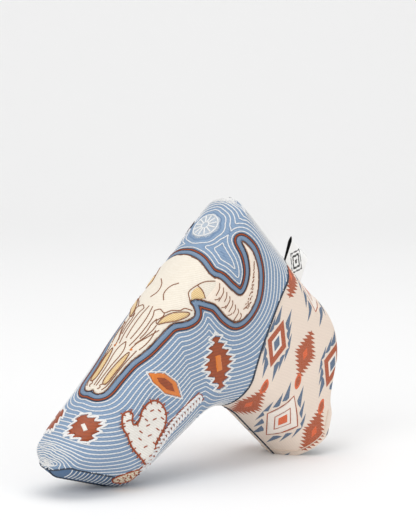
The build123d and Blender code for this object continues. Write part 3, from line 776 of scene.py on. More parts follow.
stitched = dict(body="cover", slot="seam_thread")
levels = border + 1.7 + quilt_pitch * np.arange(70)
keep_out = [big_diamond, small_diamond, lozenge, cactus_shape, mound_shape, rosette_loop]
rope_band = np.concatenate([rope_line + (0, rope_half), (rope_line - (0, rope_half))[::-1]])
for side in ("front", "back"):
    back = side == "back"
    skin, leans = (back_skin, back_lean) if back else (front_skin, front_lean)
    places = pocket_places(back)
    middles = places[pocket_facets].mean(1)
    clear = np.ones(len(pocket_facets), bool)
    for loop in keep_out + [rope_band]:
        clear &= ~inside_loop(middles if loop is rosette_loop else np.abs(middles), loop)
    clear &= nearest(plan[pocket_facets].mean(1), join_line)[0] > 0.8
    clear &= toe_gap[pocket_facets].mean(1) > toe_strip + 0.3
    p, t, n = level_lines(skin, leans, quilt_gap[side], levels, pocket_facets, 0.05, clear)
    sew(f"quilting_{side}", p, t, n, white_thread, half_width=0.27, half_height=0.28, stitch=2.4, swell=0.35,
        sides=5, **stitched)
    p, t, n = level_lines(skin, leans, skull_gap[side], [border], pocket_facets, 0.1)
    sew(f"rust_border_{side}", p, t, n, rust_thread, half_width=0.42, half_height=0.42, stitch=1.6, **stitched)
    p, t, n = level_lines(skin, leans, skull_gap[side], [1.85], pocket_facets, 0.1)
    sew(f"satin_border_{side}", p, t, n, satin_thread, half_width=1.3, half_height=0.5, stitch=1.2, swell=0.05,
        sides=8, **stitched)
    p, t, n = level_lines(skin, leans, skull_gap[side], [0.4, border - 0.62, border + 0.62],
                          pocket_facets, 0.12)
    sew(f"dark_outline_{side}", p, t, n, dark_thread, half_width=0.2, half_height=0.4, stitch=1.6, **stitched)
    p, t, n = level_lines(skin, leans, toe_gap, [toe_strip], pocket_facets, 0.05)
    sew(f"toe_stitch_line_{side}", p, t, n, dark_thread, half_width=0.4, half_height=0.4, stitch=2.2, **stitched)
    rim = divided(toe_edge, 2.6)[1:-1]
    rim_way = np.gradient(rim, axis=0)
    rim_way /= np.hypot(rim_way[:, 0], rim_way[:, 1])[:, None]
    rim_in = np.stack([rim_way[:, 1], -rim_way[:, 0]], 1)
    whips = []
    for start, way, inner in zip(rim, rim_way, rim_in):
        line = divided([start + inner * 0.7, start + inner * (toe_strip - 0.3) + way * 2.4], 0.6)
        whips.append(lay(shape(line)[1], back, 0.05))
    p, t, n = joined(whips)
    sew(f"toe_whip_stitches_{side}", p, t, n, white_thread, half_width=0.3, stitch=2.4, sides=5, **stitched)


# ---- Skull applique and horns -----------------------------------------------------------------
# A smooth cream patch laid over the sole fold and stitched down all round, with brown drawn
# lines, tan satin in the eye sockets, temples and nostrils, and a satin horn on each face.

def satin(name, light, shade, pitch=0.55, turn=0.0, roughness=0.45, sheen=0.3, contrast=1.0):
    """Satin stitch: close parallel threads laid across a shape, brighter along their crowns."""
    material, tree, shader = new_material(name)
    flat = node(tree, "ShaderNodeUVMap", uv_map="pattern").outputs[0]
    way = node(tree, "ShaderNodeMapping", {"Vector": flat, "Rotation": (0, 0, math.radians(turn))})
    lay_lines = node(tree, "ShaderNodeTexWave", {"Vector": way.outputs[0], "Scale": 0.314 / pitch,
                                                 "Distortion": 0.8, "Detail": 1.5, "Detail Scale": 2.0})
    cloudy = node(tree, "ShaderNodeTexNoise", {"Vector": flat, "Scale": 0.35, "Detail": 3.0})
    share = node(tree, "ShaderNodeMath", {0: lay_lines.outputs["Fac"], 1: contrast}, operation="MULTIPLY")
    mixed = node(tree, "ShaderNodeMix", {0: share.outputs[0], 6: linear(light), 7: linear(shade)}, data_type="RGBA")
    worn = node(tree, "ShaderNodeMapRange", {"Value": cloudy.outputs[0], "From Min": 0.35, "From Max": 0.7,
                                             "To Min": 0.0, "To Max": 0.35})
    uneven = node(tree, "ShaderNodeMix", {0: worn.outputs[0], 6: mixed.outputs[2], 7: linear(shade)},
                  data_type="RGBA")
    tree.links.new(uneven.outputs[2], shader.inputs["Base Color"])
    relief = node(tree, "ShaderNodeBump", {"Strength": 0.5, "Distance": 0.0002, "Height": lay_lines.outputs["Fac"]},
                  invert=True)
    tree.links.new(relief.outputs[0], shader.inputs["Normal"])
    shader.inputs["Roughness"].default_value = roughness
    shader.inputs["Sheen Weight"].default_value = sheen
    return material


cream_patch = satin("cream_felt_applique", "#E6DFD2", "#DACFBE", 1.1, 20, 0.7, 0.15, 0.6)
cream_satin = satin("cream_satin_stitch", "#F7ECE0", "#E6D5C2", 0.8, -30, 0.5)
tan_satin = satin("tan_satin_stitch", "#EBD3A2", "#C9A568", 0.8, 70)
rust_satin = satin("rust_satin_stitch", "#B24E14", "#743006", 0.75, 35, 0.4, 0.05)
orange_satin = satin("orange_satin_stitch", "#EF8A1C", "#BF5E08", 0.75, -50)
white_satin = satin("white_satin_stitch", "#F7F4EE", "#D5D0C6", 0.8, 55, 0.55)
tan_cream = satin("cream_seed_stitch", "#F2E8D6", "#C9B48F", 1.3, 15, 0.6)
grey_satin = satin("grey_satin_stitch", "#C4CDD6", "#8C9BAD", 0.8, 60)


def stitch_down(name, loop, material, lift, spacing=0.8, mirror=False, under=0.15):
    """A raised patch: a closed shape in pocket pairs, domed at its edge where it is sewn down."""
    loop = divided(np.asarray(loop) * ((1, -1) if mirror else (1, 1)), spacing * 0.8, closed=True)
    low_corner, high_corner = loop.min(0), loop.max(0)
    xs, ys = np.meshgrid(np.arange(low_corner[0], high_corner[0], spacing),
                         np.arange(low_corner[1], high_corner[1], spacing))
    grid = np.stack([xs.ravel(), ys.ravel()], 1)
    grid = grid[inside_loop(grid, loop)]
    ring = np.concatenate([loop, loop[:1]])
    grid = grid[nearest(grid, ring)[0] > spacing * 0.45]
    flat, cuts = triangulated(grid, [(loop, True)])
    cuts = cuts[inside_loop(flat[cuts].mean(1), loop)]
    deep, _ = nearest(flat, ring)
    dome = np.clip(deep / 1.1, 0, 1)
    height = -under + (lift + under) * np.sqrt(1 - (1 - dome) ** 2)
    pattern_places, back = on_pocket(flat)
    top, lean = lay(pattern_places, back, height)
    bottom, _ = lay(pattern_places, back, -under - 0.25 * dome)
    count = len(flat)
    faces = np.concatenate([cuts[:, ::-1], cuts + count])
    return add_piece(name, np.concatenate([top, bottom]), faces, material, "cover",
                     np.concatenate([flat, flat]), weld=0.005)


def drawn(name, lines, material, half_width, mirror=False, lift=0.15, closed=False, height=None, stitch=1.5,
          swell=0.25, sides=6, middle_line=0.0):
    """Threads sewn along given lines, in pocket pairs about a middle line."""
    runs = []
    for line in lines:
        line = (np.asarray(line, float) + (0, middle_line)) * ((1, -1) if mirror else (1, 1))
        places, back = on_pocket(line)
        runs.append(lay(places, back, lift))
    p, t, n = joined(runs, closed)
    return sew(name, p, t, n, material, "cover", "seam_thread", half_width, height, stitch, swell, sides)


skull = stitch_down("skull_applique_patch", skull_loop, cream_patch, 0.9)
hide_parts("skull_applique")
skull_lift = 0.95

face_lines = []
for turn in (1, -1):
    for line in (
        [(56.5, 0.7), (62, 0.9), (70, 1.3), (77, 2.2), (82, 1.9), (86, 0.0)],       # ridge between the nostrils
        [(55, 2.6), (56.4, 3.6), (57.2, 2.6), (58.4, 3.4), (58.8, 5.4)],            # front teeth
        [(55.2, 5.0), (57.0, 5.9), (60, 6.5), (68, 6.9), (76, 7.6), (83, 8.6)],
        [(84, 3.4), (90, 4.6), (97, 5.2), (104, 5.0), (108, 3.6)],
        [(86, 5.6), (91, 7.6), (97, 9.2), (101, 9.4)],
        [(84, 9.4), (88.5, 10.6), (93, 11.0), (98, 10.6)],
        [(88, 1.5), (95, 2.2), (103, 2.2), (110, 1.2)],
        [(90, 6.2), (95, 7.0), (100, 6.8), (104, 7.6)],
        [(82, 5.2), (87, 6.4), (92, 8.8), (99, 12.0)],
        [(108, 3.6), (110, 6.0), (109, 9.0), (112, 11.4), (114.6, 15.0), (117.0, 16.2), (118.6, 20)],
        [(101.5, 9.2), (103, 8.0), (107, 9.6), (109, 9.0)],
        [(115.5, 4.6), (119.5, 2.2), (124.5, 3.0), (128, 6.2)],                     # brow
        [(122.4, 16), (126, 13.2), (131.5, 14.6), (136, 17), (139.8, 21)],
        [(131.8, 14.8), (131, 18.5), (128.6, 22)],
    ):
        face_lines.append(smooth(np.array(line) * (1, turn), 0.6))
drawn("skull_drawn_lines", face_lines, brown_thread, 0.24, lift=skull_lift, height=0.24, middle_line=skull_middle)

socket = smooth([(101.6, 9.6), (104.5, 12.6), (108.5, 16.4), (113.5, 19.4), (116.6, 19.6), (114.2, 15.8),
                 (110.5, 12.0), (106, 9.8)], 0.6, closed=True)
temple = smooth([(123.2, 16.6), (126.5, 14.2), (131.4, 15.4), (130.6, 19.4), (128.2, 21.8), (125.4, 18.4)], 0.6,
                closed=True)
nostril = smooth([(58.6, 3.7), (62, 2.6), (70, 3.0), (77.5, 4.4), (80.6, 5.9), (75, 6.6), (66, 6.0), (60, 5.6)], 0.6,
                 closed=True)
spark = [(80.6, 4.6), (85.4, 4.9), (82.2, 7.0)]
for name, shape_loop, material in (("eye_socket", socket, tan_satin), ("temple", temple, tan_satin),
                                   ("nostril", nostril, tan_satin), ("nose_spark", spark, orange_satin)):
    for side, turn in (("front", 1), ("back", -1)):
        loop = np.array(shape_loop) * (1, turn) + (0, skull_middle)
        patch = stitch_down(f"{name}_{side}", loop, material, skull_lift + 0.35, 0.6, under=-0.4)
        if name in ("eye_socket", "nostril"):
            drawn(f"{name}_edge_{side}", [divided(loop, 0.6, True)], brown_thread, 0.22, lift=skull_lift + 0.1,
                  closed=True)

drawn("skull_outline", [skull_loop], brown_thread, 0.22, lift=0.35, closed=True)
for side, turn in (("front", 1), ("back", -1)):
    drawn(f"horn_outline_{side}", [horn_loops[side]], brown_thread, 0.2, lift=0.45, closed=True)
    horn = stitch_down(f"horn_satin_{side}", horn_loops[side], cream_satin, 0.85)
    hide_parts(f"horn_{side}")
    ridges = []
    for k in range(8):
        out = 23.5 + 3.1 * k
        reach = 0.55 + 0.25 * math.sin(2.3 * k)
        ridges.append(smooth([(140.6 - 0.25 * k, out), (138.0, out + 1.8), (137.0 - 5.5 * reach, out + 2.4)], 0.6))
        if k % 2:
            ridges.append(smooth([(131.8, out), (133.4, out + 1.4), (134.8, out + 1.6)], 0.6))
    ridges.append(smooth([(141.5, 45.5), (148, 47.2)], 0.6))
    for k in range(34):
        far = k / 33
        mid = np.array((143 + 20.5 * far, 46.5 - 13 * far ** 1.6 + 1.6 * math.sin(k * 2.4) * (1 - far)))
        ridges.append(divided([mid, mid + (0.9, -0.5 * far)], 0.4))
    ridges = [line * (1, turn) + (0, skull_middle) for line in ridges]
    drawn(f"horn_ridges_{side}", ridges, brown_thread, 0.2, lift=0.95)


# ---- Embroidered motifs -------------------------------------------------------------------------
# Stepped diamonds, a lozenge, a cactus and a twisted rope in satin stitch on both faces, and a
# round rosette over the fold above the skull, all sewn through the twill and its foam.

for side, mirror in (("front", False), ("back", True)):
    for number, (loop, core) in enumerate(((big_diamond, (4.6, 2.3)), (small_diamond, (2.4, 1.4)))):
        centre = loop.mean(0)
        diamond = stitch_down(f"stepped_diamond_{number}_{side}", loop, rust_satin, 0.6, 0.6,
                              mirror)
        if number == 0:
            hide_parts(f"diamond_{side}")
        heart = turned([(core[0], core[1]), (core[0], -core[1]), (-core[0], -core[1]), (-core[0], core[1])], centre,
                       -upright - 8)
        stitch_down(f"diamond_heart_{number}_{side}", heart, orange_satin if number == 0 else white_satin,
                    0.95, 0.6, mirror, under=-0.2)
        drawn(f"diamond_edging_{number}_{side}", [divided(centre + (loop - centre) * 1.07, 0.6, True)], white_thread,
              0.5, mirror, 0.1, closed=True, stitch=1.2)
    rhombus = stitch_down(f"lozenge_{side}", lozenge, orange_satin, 0.55, 0.6, mirror)
    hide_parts(f"rhombus_{side}")
    stitch_down(f"lozenge_heart_{side}", lozenge.mean(0) + (lozenge - lozenge.mean(0)) * (0.56, 0.62), rust_satin,
                0.9, 0.6, mirror, under=-0.2)
    drawn(f"lozenge_edging_{side}", [divided(lozenge.mean(0) + (lozenge - lozenge.mean(0)) * 1.08, 0.6, True)],
          white_thread, 0.3, mirror, 0.1, closed=True)

    mound = stitch_down(f"mound_fill_{side}", mound_shape, tan_cream, 0.6, 0.7, mirror)
    drawn(f"mound_outline_{side}", [mound_shape], rust_thread, 0.4, mirror, 0.3, closed=True, height=0.4, stitch=1.3)
    cactus = stitch_down(f"cactus_fill_{side}", cactus_shape, white_satin, 0.75, 0.7, mirror)
    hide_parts(f"cactus_{side}")
    drawn(f"cactus_outline_{side}", [cactus_shape], rust_thread, 0.42, mirror, 0.4, closed=True, height=0.45,
          stitch=1.3)
    spines = []
    for k in range(0, len(cactus_shape), 6):
        out = cactus_shape[k] - cactus_shape[k - 1]
        out = np.array((out[1], -out[0])) / np.linalg.norm(out)
        spines.append(divided([cactus_shape[k] - out * 1.5, cactus_shape[k] + out * 1.5], 0.5))
    for k, place in enumerate(((48.4, 28.2), (57, 36.4), (62, 36.6), (66, 40), (60, 41.2), (64.5, 44.5), (55, 40),
                               (58.5, 46), (52, 44.6), (47.4, 40.2), (46.2, 46.6), (52, 49.4), (45.6, 53), (50.4, 38))):
        spines.append(divided([place, np.array(place) + step((0, 0), 2.4, 30 + 50 * (k % 2))], 0.5))
    specks = [divided([place, place + step((0, 0), 0.9, 60 * k)], 0.4)
              for k, place in enumerate(np.stack([25 + 3.1 * (np.arange(20) % 5) + 0.7 * (np.arange(20) // 5 % 2),
                                                  53.6 + 2.0 * (np.arange(20) // 5)], 1))
              if inside_loop(np.array([place]), mound_shape)[0]]
    drawn(f"cactus_spines_{side}", spines + specks, rust_thread, 0.3, mirror, 0.8, stitch=2.0)

    band = np.concatenate([rope_line + (0, rope_half), (rope_line - (0, rope_half))[::-1]])
    rope = stitch_down(f"rope_ground_{side}", band, white_satin, 0.25, 0.6, mirror)
    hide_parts(f"rope_{side}")
    strands, gaps_between = [], []
    for k in range(4, len(rope_line) - 6, 4):
        centre = rope_line[k]
        for way in (1, -1):
            strands.append(smooth([centre + (1.3, 0), centre + (0.6, 1.1 * way), centre + (-1.5, 2.1 * way)], 0.4))
            gaps_between.append(strands[-1] + (1.15, 0))
    drawn(f"rope_strands_{side}", strands, white_thread, 0.72, mirror, 0.5, height=0.6, stitch=2.6, swell=0.4)
    drawn(f"rope_gaps_{side}", gaps_between, rust_thread, 0.17, mirror, 0.75)
    rims = [rope_line + (0, rope_half), rope_line - (0, rope_half)]
    drawn(f"rope_rims_{side}", rims, rust_thread, 0.26, mirror, 0.3)

rosette = stitch_down("rosette_satin", rosette_loop, grey_satin, 0.5, 0.7)
petals = [np.stack([r * np.cos(round_about), r * np.sin(round_about)], 1) + rosette_place for r in (2.2, 7.4)]
drawn("rosette_rings", petals, white_thread, 0.35, lift=0.5, closed=True)
spokes = [divided([np.array(rosette_place) + step((0, 0), 2.6, a), np.array(rosette_place) + step((0, 0), 6.6, a)],
                  0.6) for a in range(0, 360, 30)]
drawn("rosette_spokes", spokes, white_thread, 0.4, lift=0.5)


# ---- Neck and closure flap -----------------------------------------------------------------------
# Beige cotton canvas with a printed pattern of stepped diamonds in slanting columns. The front
# runs on round the heel fold as the flap, which closes over the back with hook and loop tape.

across = np.array((21.5, -8.0))      # from one column of the print to the next
down = np.array((-14.0, -36.0))      # from one motif of a column to the next
print_start = np.array((44.5, 66.0))
canvas_ink = {"canvas": "#F0DFD0", "rust": "#AE4F28", "orange": "#E0602C", "blue": "#536C88", "cream": "#F6ECE2"}


def rhombus_ring(height, width):
    return [(0, height), (-width, 0), (0, -height), (width, 0)]


def teeth(height, width, out):
    """Slim slanting teeth in pairs along the sides of a diamond, longer towards its tips."""
    made = []
    for up in (1, -1):
        for aside in (1, -1):
            for share, size in ((0.14, 0.9), (0.46, 1.15), (0.80, 1.45)):
                x, y = width * (1 - share) + out, height * share + 0.8
                tooth = [(x - 0.2, y + 6.2 * size), (x - 1.5 * size, y - 1.2), (x + 1.3 * size, y - 3.2)]
                made.append([(px * aside, py * up) for px, py in tooth])
    return made


def print_shapes():
    """Every printed shape near the neck as a closed loop with its ink, in flat millimetres."""
    shapes = []
    ways = np.stack([across / np.linalg.norm(across), -down / np.linalg.norm(down)])

    def stamp(points, place, ink):
        shapes.append((np.array(points, float) @ ways + place, ink))

    for i in range(-3, 10):
        for j in range(-6, 5):
            place = print_start + i * across + j * down
            if (i + j) % 2:
                star = [(y, x) for x, y in stepped(13.2, 6.6, 6, 1.7)]
                stamp(star, place, "rust")
                stamp(rhombus_ring(3.6, 1.9), place, "orange")
                drop = place - down * (0.37 if j % 2 else -0.40)
                lens = [(2.3 * math.sin(a), 4.6 * math.cos(a) * (0.75 + 0.25 * abs(math.cos(a))))
                        for a in np.linspace(0, 2 * math.pi, 14, endpoint=False)]
                stamp(lens, drop, "orange")
                stamp([(x * 0.62, y * 0.66) for x, y in lens], drop, "rust")
            elif j % 2:
                for tooth in teeth(15.4, 11.0, 3.0):
                    stamp(tooth, place, "blue")
                stamp(rhombus_ring(17.6, 12.4), place, "canvas")
                stamp(rhombus_ring(15.4, 10.8), place, "rust")
                stamp(rhombus_ring(14.4, 10.0), place, "cream")
                stamp(rhombus_ring(8.4, 5.6), place, "rust")
                stamp(rhombus_ring(7.4, 4.9), place, "cream")
                stamp(rhombus_ring(4.4, 3.0), place, "orange")
            else:
                for tooth in teeth(13.4, 7.4, 2.6):
                    stamp(tooth, place, "blue")
                stamp(rhombus_ring(15.8, 9.0), place, "canvas")
                stamp(rhombus_ring(13.4, 7.4), place, "rust")
                stamp(rhombus_ring(7.4, 3.9), place, "cream")
                stamp(rhombus_ring(4.6, 2.3), place, "blue")
    return shapes


printed_shapes = print_shapes()
gathered_reach, gathered_depth = 11, 8          # the plain corner: how far along, and in from the edge


def print_on(region, turn_over=None):
    """A region of triangles cut again along the printed shapes: places on the front face, flat
    places, triangles and the ink of each. Round the mouth's upper corner, where the flat pattern
    is gathered, the triangles stay whole and plain. turn_over mirrors the print about a line,
    given as a point and a direction."""
    shapes = printed_shapes
    if turn_over is not None:
        point, way = turn_over
        shapes = [(point + 2 * ((loop - point) @ way)[:, None] * way - (loop - point), ink) for loop, ink in shapes]
    at_corner = np.hypot(*(plan[region].mean(1) - mouth_high).T) < gathered_reach
    at_corner &= from_edge[region].mean(1) < gathered_depth
    kept_whole, region = region[at_corner], region[~at_corner]
    corners = np.unique(region)
    pairs = np.sort(np.concatenate([region[:, [0, 1]], region[:, [1, 2]], region[:, [2, 0]]]), 1)
    pairs, seen = np.unique(pairs, axis=0, return_counts=True)
    rim = pairs[seen == 1]
    place_of = {int(v): k for k, v in enumerate(corners)}
    vectors = [Vector(p) for p in pattern[corners]]
    ties = [(place_of[int(a)], place_of[int(b)]) for a, b in rim]
    low_corner, high_corner = pattern[corners].min(0), pattern[corners].max(0)
    near = [(loop, ink) for loop, ink in shapes
            if (loop.max(0) > low_corner).all() and (loop.min(0) < high_corner).all()]
    for loop, _ in near:
        first = len(vectors)
        fine = divided(loop, 1.5, closed=False)
        vectors += [Vector(p) for p in loop]
        ties += [(first + i, first + (i + 1) % len(loop)) for i in range(len(loop))]
    made = geometry.delaunay_2d_cdt(vectors, ties, [], 0, 1e-4)
    flat, cuts = np.array(made[0]), np.array(made[2])
    own_tree = BVHTree.FromPolygons([(x, z, 0) for x, z in pattern], region.tolist())
    mids = flat[cuts].mean(1)
    on = np.array([(own_tree.find_nearest((x, z, 0), 0.5)[3] or 0) < 1e-3
                   and own_tree.find_nearest((x, z, 0), 0.5)[0] is not None for x, z in mids])
    cuts = cuts[on]
    used, cuts = np.unique(cuts, return_inverse=True)
    flat, cuts = flat[used], cuts.reshape(-1, 3)
    laid, _ = lay(flat, tree=own_tree, among=region)
    whole, kept_whole = np.unique(kept_whole, return_inverse=True)
    reprinted = len(cuts)
    cuts = np.concatenate([cuts, kept_whole.reshape(-1, 3) + len(flat)])
    flat, laid = np.concatenate([flat, pattern[whole]]), np.concatenate([laid, front_skin[whole]])
    mids = flat[cuts].mean(1)
    inks = np.array(["canvas"] * len(cuts), dtype=object)
    for loop, ink in near:
        close = np.flatnonzero((mids > loop.min(0)).all(1) & (mids < loop.max(0)).all(1))
        inks[close[inside_loop(mids[close], loop) & (close < reprinted)]] = ink
    return laid, flat, cuts, inks


canvas, tree, shader = new_material("printed_cotton_canvas")
flat = node(tree, "ShaderNodeUVMap", uv_map="pattern").outputs[0]
yarn = 0.8                           # plain weave, drawn at twice its real 0.4 mm so that it shows
warp = node(tree, "ShaderNodeTexWave", {"Vector": flat, "Scale": 0.314 / yarn, "Distortion": 0.7, "Detail": 1.0})
weft = node(tree, "ShaderNodeTexWave", {"Vector": flat, "Scale": 0.314 / yarn, "Distortion": 0.7, "Detail": 1.0},
            bands_direction="Y")
weave = node(tree, "ShaderNodeMath", {0: warp.outputs["Fac"], 1: weft.outputs["Fac"]}, operation="MULTIPLY")
flecks = node(tree, "ShaderNodeTexNoise", {"Vector": flat, "Scale": 1.9, "Detail": 3.0})
ink = node(tree, "ShaderNodeAttribute", attribute_name="ink")
thin_ink = node(tree, "ShaderNodeMapRange", {"Value": flecks.outputs[0], "From Min": 0.42, "From Max": 0.68,
                                             "To Min": 0.0, "To Max": 0.2})
dusty = node(tree, "ShaderNodeMix", {0: thin_ink.outputs[0], 6: ink.outputs["Color"], 7: linear("#EBD9C9")},
             data_type="RGBA")
hollow = node(tree, "ShaderNodeMapRange", {"Value": weave.outputs[0], "From Min": 0.0, "From Max": 0.5,
                                           "To Min": 0.86, "To Max": 1.0})
shaded = node(tree, "ShaderNodeVectorMath", {0: dusty.outputs[2], "Scale": hollow.outputs[0]}, operation="SCALE")
tree.links.new(shaded.outputs[0], shader.inputs["Base Color"])
relief = node(tree, "ShaderNodeBump", {"Strength": 0.6, "Distance": 0.0002, "Height": weave.outputs[0]})
tree.links.new(relief.outputs[0], shader.inputs["Normal"])
shader.inputs["Roughness"].default_value = 0.9
shader.inputs["Sheen Weight"].default_value = 0.05


def canvas_piece(name, parts, body):
    """One piece of printed canvas from parts: places, triangles, inks, which face, and how much
    deeper than the neck's own face it lies."""
    points, faces, inks, uv, first = [], [], [], [], 0
    for laid, flat, cuts, ink, back, deeper in parts:
        laid = laid * (1, -deeper if back else deeper, 1)
        points.append(laid)
        faces.append((cuts[:, ::-1] if back else cuts) + first)
        inks.append(ink)
        uv.append(flat)
        first += len(flat)
    mesh_points, mesh_faces, inks = np.concatenate(points), np.concatenate(faces), np.concatenate(inks)
    piece = add_piece(name, mesh_points, mesh_faces, canvas, None, np.concatenate(uv), weld=0)
    colours = {ink: linear(code) for ink, code in canvas_ink.items()}
    layer = piece.data.color_attributes.new("ink", "FLOAT_COLOR", "CORNER")
    layer.data.foreach_set("color", np.repeat([colours[i] for i in inks], 3, axis=0).ravel())
    soft = bmesh.new()
    soft.from_mesh(piece.data)
    bmesh.ops.remove_doubles(soft, verts=soft.verts, dist=0.00002)
    soft.to_mesh(piece.data)
    soft.free()
    if body:
        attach(piece, body)
    return piece


in_zone = (centres[:, 1] > mouth_high[1]) & (centres[:, 1] < flap_high)
front_strip = ~in_pocket & in_zone & (centres[:, 0] > bend_x)
under_flap = ~in_pocket & in_zone & (centres[:, 0] > hinge_x)
flap_back = in_zone & inside_loop(centres, flap_cut) & ~in_pocket
flap_depth = (half_depth + 6.2) / half_depth

neck_front = canvas_piece("neck_front_cover", [(*print_on(facets[~in_pocket & ~front_strip]), False, 1)], "cover")
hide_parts("neck_front_panel", "neck_front_padding")
neck_back = canvas_piece("neck_back_cover", [(*print_on(facets[~in_pocket & ~under_flap]), True, 1)], "cover")
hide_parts("neck_back_panel", "neck_back_padding")
fold_wrap = fold_length(np.zeros(1), np.array([4.0]), np.array([6.0]))[0] - 6.0
fold_direction = step((0, 0), 1, fold_way)
fold_line = (heel + fold_wrap * np.array((-fold_direction[1], fold_direction[0])), fold_direction)
flap = canvas_piece("flap_cover", [(*print_on(facets[front_strip]), False, 1),
                                   (*print_on(facets[flap_back], fold_line), True, flap_depth)], None)
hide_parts("flap_panel", "flap_padding")
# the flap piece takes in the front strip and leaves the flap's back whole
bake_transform(flap)


# ---- Seams --------------------------------------------------------------------------------------
# The pocket and the neck are cut from different cloth and joined by a plain seam with a dark
# thread. The toe, the underside, the neck and the heel are closed by seams turned to the inside,
# each a narrow sunk line with its stitches just showing.

runs = []
for turned_over in (False, True):
    picked = inside_loop(join_line, outline)
    flat_line = shape(join_line[picked])[1]
    runs.append(lay(flat_line, turned_over, 0.05))
p, t, n = joined(runs)
join = sew("join_seam_thread", p, t, n, dark_thread, half_width=0.55, half_height=0.35, stitch=1.4, **stitched)
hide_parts("join_seam")

number_of_edge = {"toe_seam": (-0.45, 0.45), "heel_seam": (1.55, 2.55), "underside_seam": (6.6, 7.4),
                  "neck_seam": (5.7, 6.3)}
for name, (first, last) in number_of_edge.items():
    turn = (run + 4) % 8 - 4 if first < 0 else run
    picked = np.flatnonzero((turn >= first) & (turn <= last))
    if name == "heel_seam":                              # it ends where the flap begins
        picked = picked[outline[picked, 1] > flap_high + 0.5]
    picked = picked[np.argsort(turn[picked], kind="stable")]
    line = outline[picked]
    inner = inside_loop(line, trim)
    line = divided(line[inner], 1.0)
    rim = np.stack([line[:, 0], 0 * line[:, 0], line[:, 1]], 1)
    away = np.gradient(line, axis=0)
    away = np.stack([-away[:, 1], 0 * away[:, 0], away[:, 0]], 1)
    away /= np.linalg.norm(away, axis=1)[:, None]
    p, t, n = joined([(rim + away * 0.1, away)])
    seam = sew(name + "_thread", p, t, n, dark_thread, half_width=0.5, half_height=0.45, stitch=2.6, **stitched)
    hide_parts(name)


# ---- Plush lining ---------------------------------------------------------------------------------
# Black short-pile plush over both inner faces of the pocket and the neck, sewn in round the mouth
# and along the same seams as the outer cloth. It shows at the mouth and under the flap.

plush, tree, shader = new_material("black_short_pile_plush")
flat = node(tree, "ShaderNodeUVMap", uv_map="pattern").outputs[0]
pile = node(tree, "ShaderNodeTexNoise", {"Vector": flat, "Scale": 1.6, "Detail": 4.0, "Roughness": 0.7})
tone = node(tree, "ShaderNodeMix", {0: pile.outputs[0], 6: linear("#0E0F11"), 7: linear("#34373C")}, data_type="RGBA")
tree.links.new(tone.outputs[2], shader.inputs["Base Color"])
relief = node(tree, "ShaderNodeBump", {"Strength": 0.9, "Distance": 0.0006, "Height": pile.outputs[0]})
tree.links.new(relief.outputs[0], shader.inputs["Normal"])
shader.inputs["Roughness"].default_value = 0.95
shader.inputs["Sheen Weight"].default_value = 0.5

mouth_line = np.concatenate([mouth_cut, [mouth_cut[-1] + (20, 0)]])
to_mouth, _ = nearest(plan, mouth_line)
deep = 0.9 + 4.3 * np.clip(to_mouth / 9, 0, 1) ** 0.5
deep = np.where(depth_at < 6, np.minimum(deep, 5.2), deep)
for side, skin, leans in (("front", front_skin, front_lean), ("back", back_skin, back_lean)):
    inner = skin - leans * deep[:, None]
    inner[:, 1] = np.minimum(inner[:, 1], 0) if side == "front" else np.maximum(inner[:, 1], 0)
    own = facets[~under_flap]
    kept_points, own = np.unique(own, return_inverse=True)
    own = own.reshape(-1, 3)
    faces = own[:, ::-1] if side == "front" else own
    lining = add_piece(f"lining_{side}_plush", inner[kept_points], faces, plush, "cover",
                       pattern[kept_points], weld=0.005)
    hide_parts(f"lining_{side}")


# ---- Hem of the mouth -----------------------------------------------------------------------------
# The canvas is rolled over the edge of the plush round the mouth and topstitched 3 mm from the
# edge in beige thread.

def edge_runs(faces, wanted):
    """The free edge of some facets, as point numbers in order, where wanted says so."""
    pairs = np.concatenate([faces[:, [0, 1]], faces[:, [1, 2]], faces[:, [2, 0]]])
    alike, counts = np.unique(np.sort(pairs, 1), axis=0, return_counts=True)
    free = [tuple(int(i) for i in e) for e in alike[counts == 1] if wanted[e].all()]
    touching = {}
    for a, b in free:
        touching.setdefault(a, []).append(b)
        touching.setdefault(b, []).append(a)
    found, seen = [], set()
    for start in sorted(touching, key=lambda i: (len(touching[i]) != 1, i)):
        if start in seen:
            continue
        chain, here = [start], start
        seen.add(start)
        while True:
            ahead_of = [i for i in touching[here] if i not in seen]
            if not ahead_of:
                break
            here = ahead_of[0]
            seen.add(here)
            chain.append(here)
        if len(chain) > 3:
            found.append(np.array(chain))
    return found


hem_canvas, tree, shader = new_material("plain_beige_canvas_hem")
speck = node(tree, "ShaderNodeAttribute", attribute_name="sewn")
cloth_run = node(tree, "ShaderNodeMath", {0: speck.outputs["Fac"], 1: 2 * math.pi / 0.0008}, operation="MULTIPLY")
cloth_rib = node(tree, "ShaderNodeMath", {0: cloth_run.outputs[0]}, operation="SINE")
share = node(tree, "ShaderNodeMapRange", {"Value": cloth_rib.outputs[0], "From Min": -1.0, "From Max": 1.0})
tone = node(tree, "ShaderNodeMix", {0: share.outputs[0], 6: linear("#DCC9B8"), 7: linear("#EEDDCE")},
            data_type="RGBA")
tree.links.new(tone.outputs[2], shader.inputs["Base Color"])
shader.inputs["Roughness"].default_value = 0.9

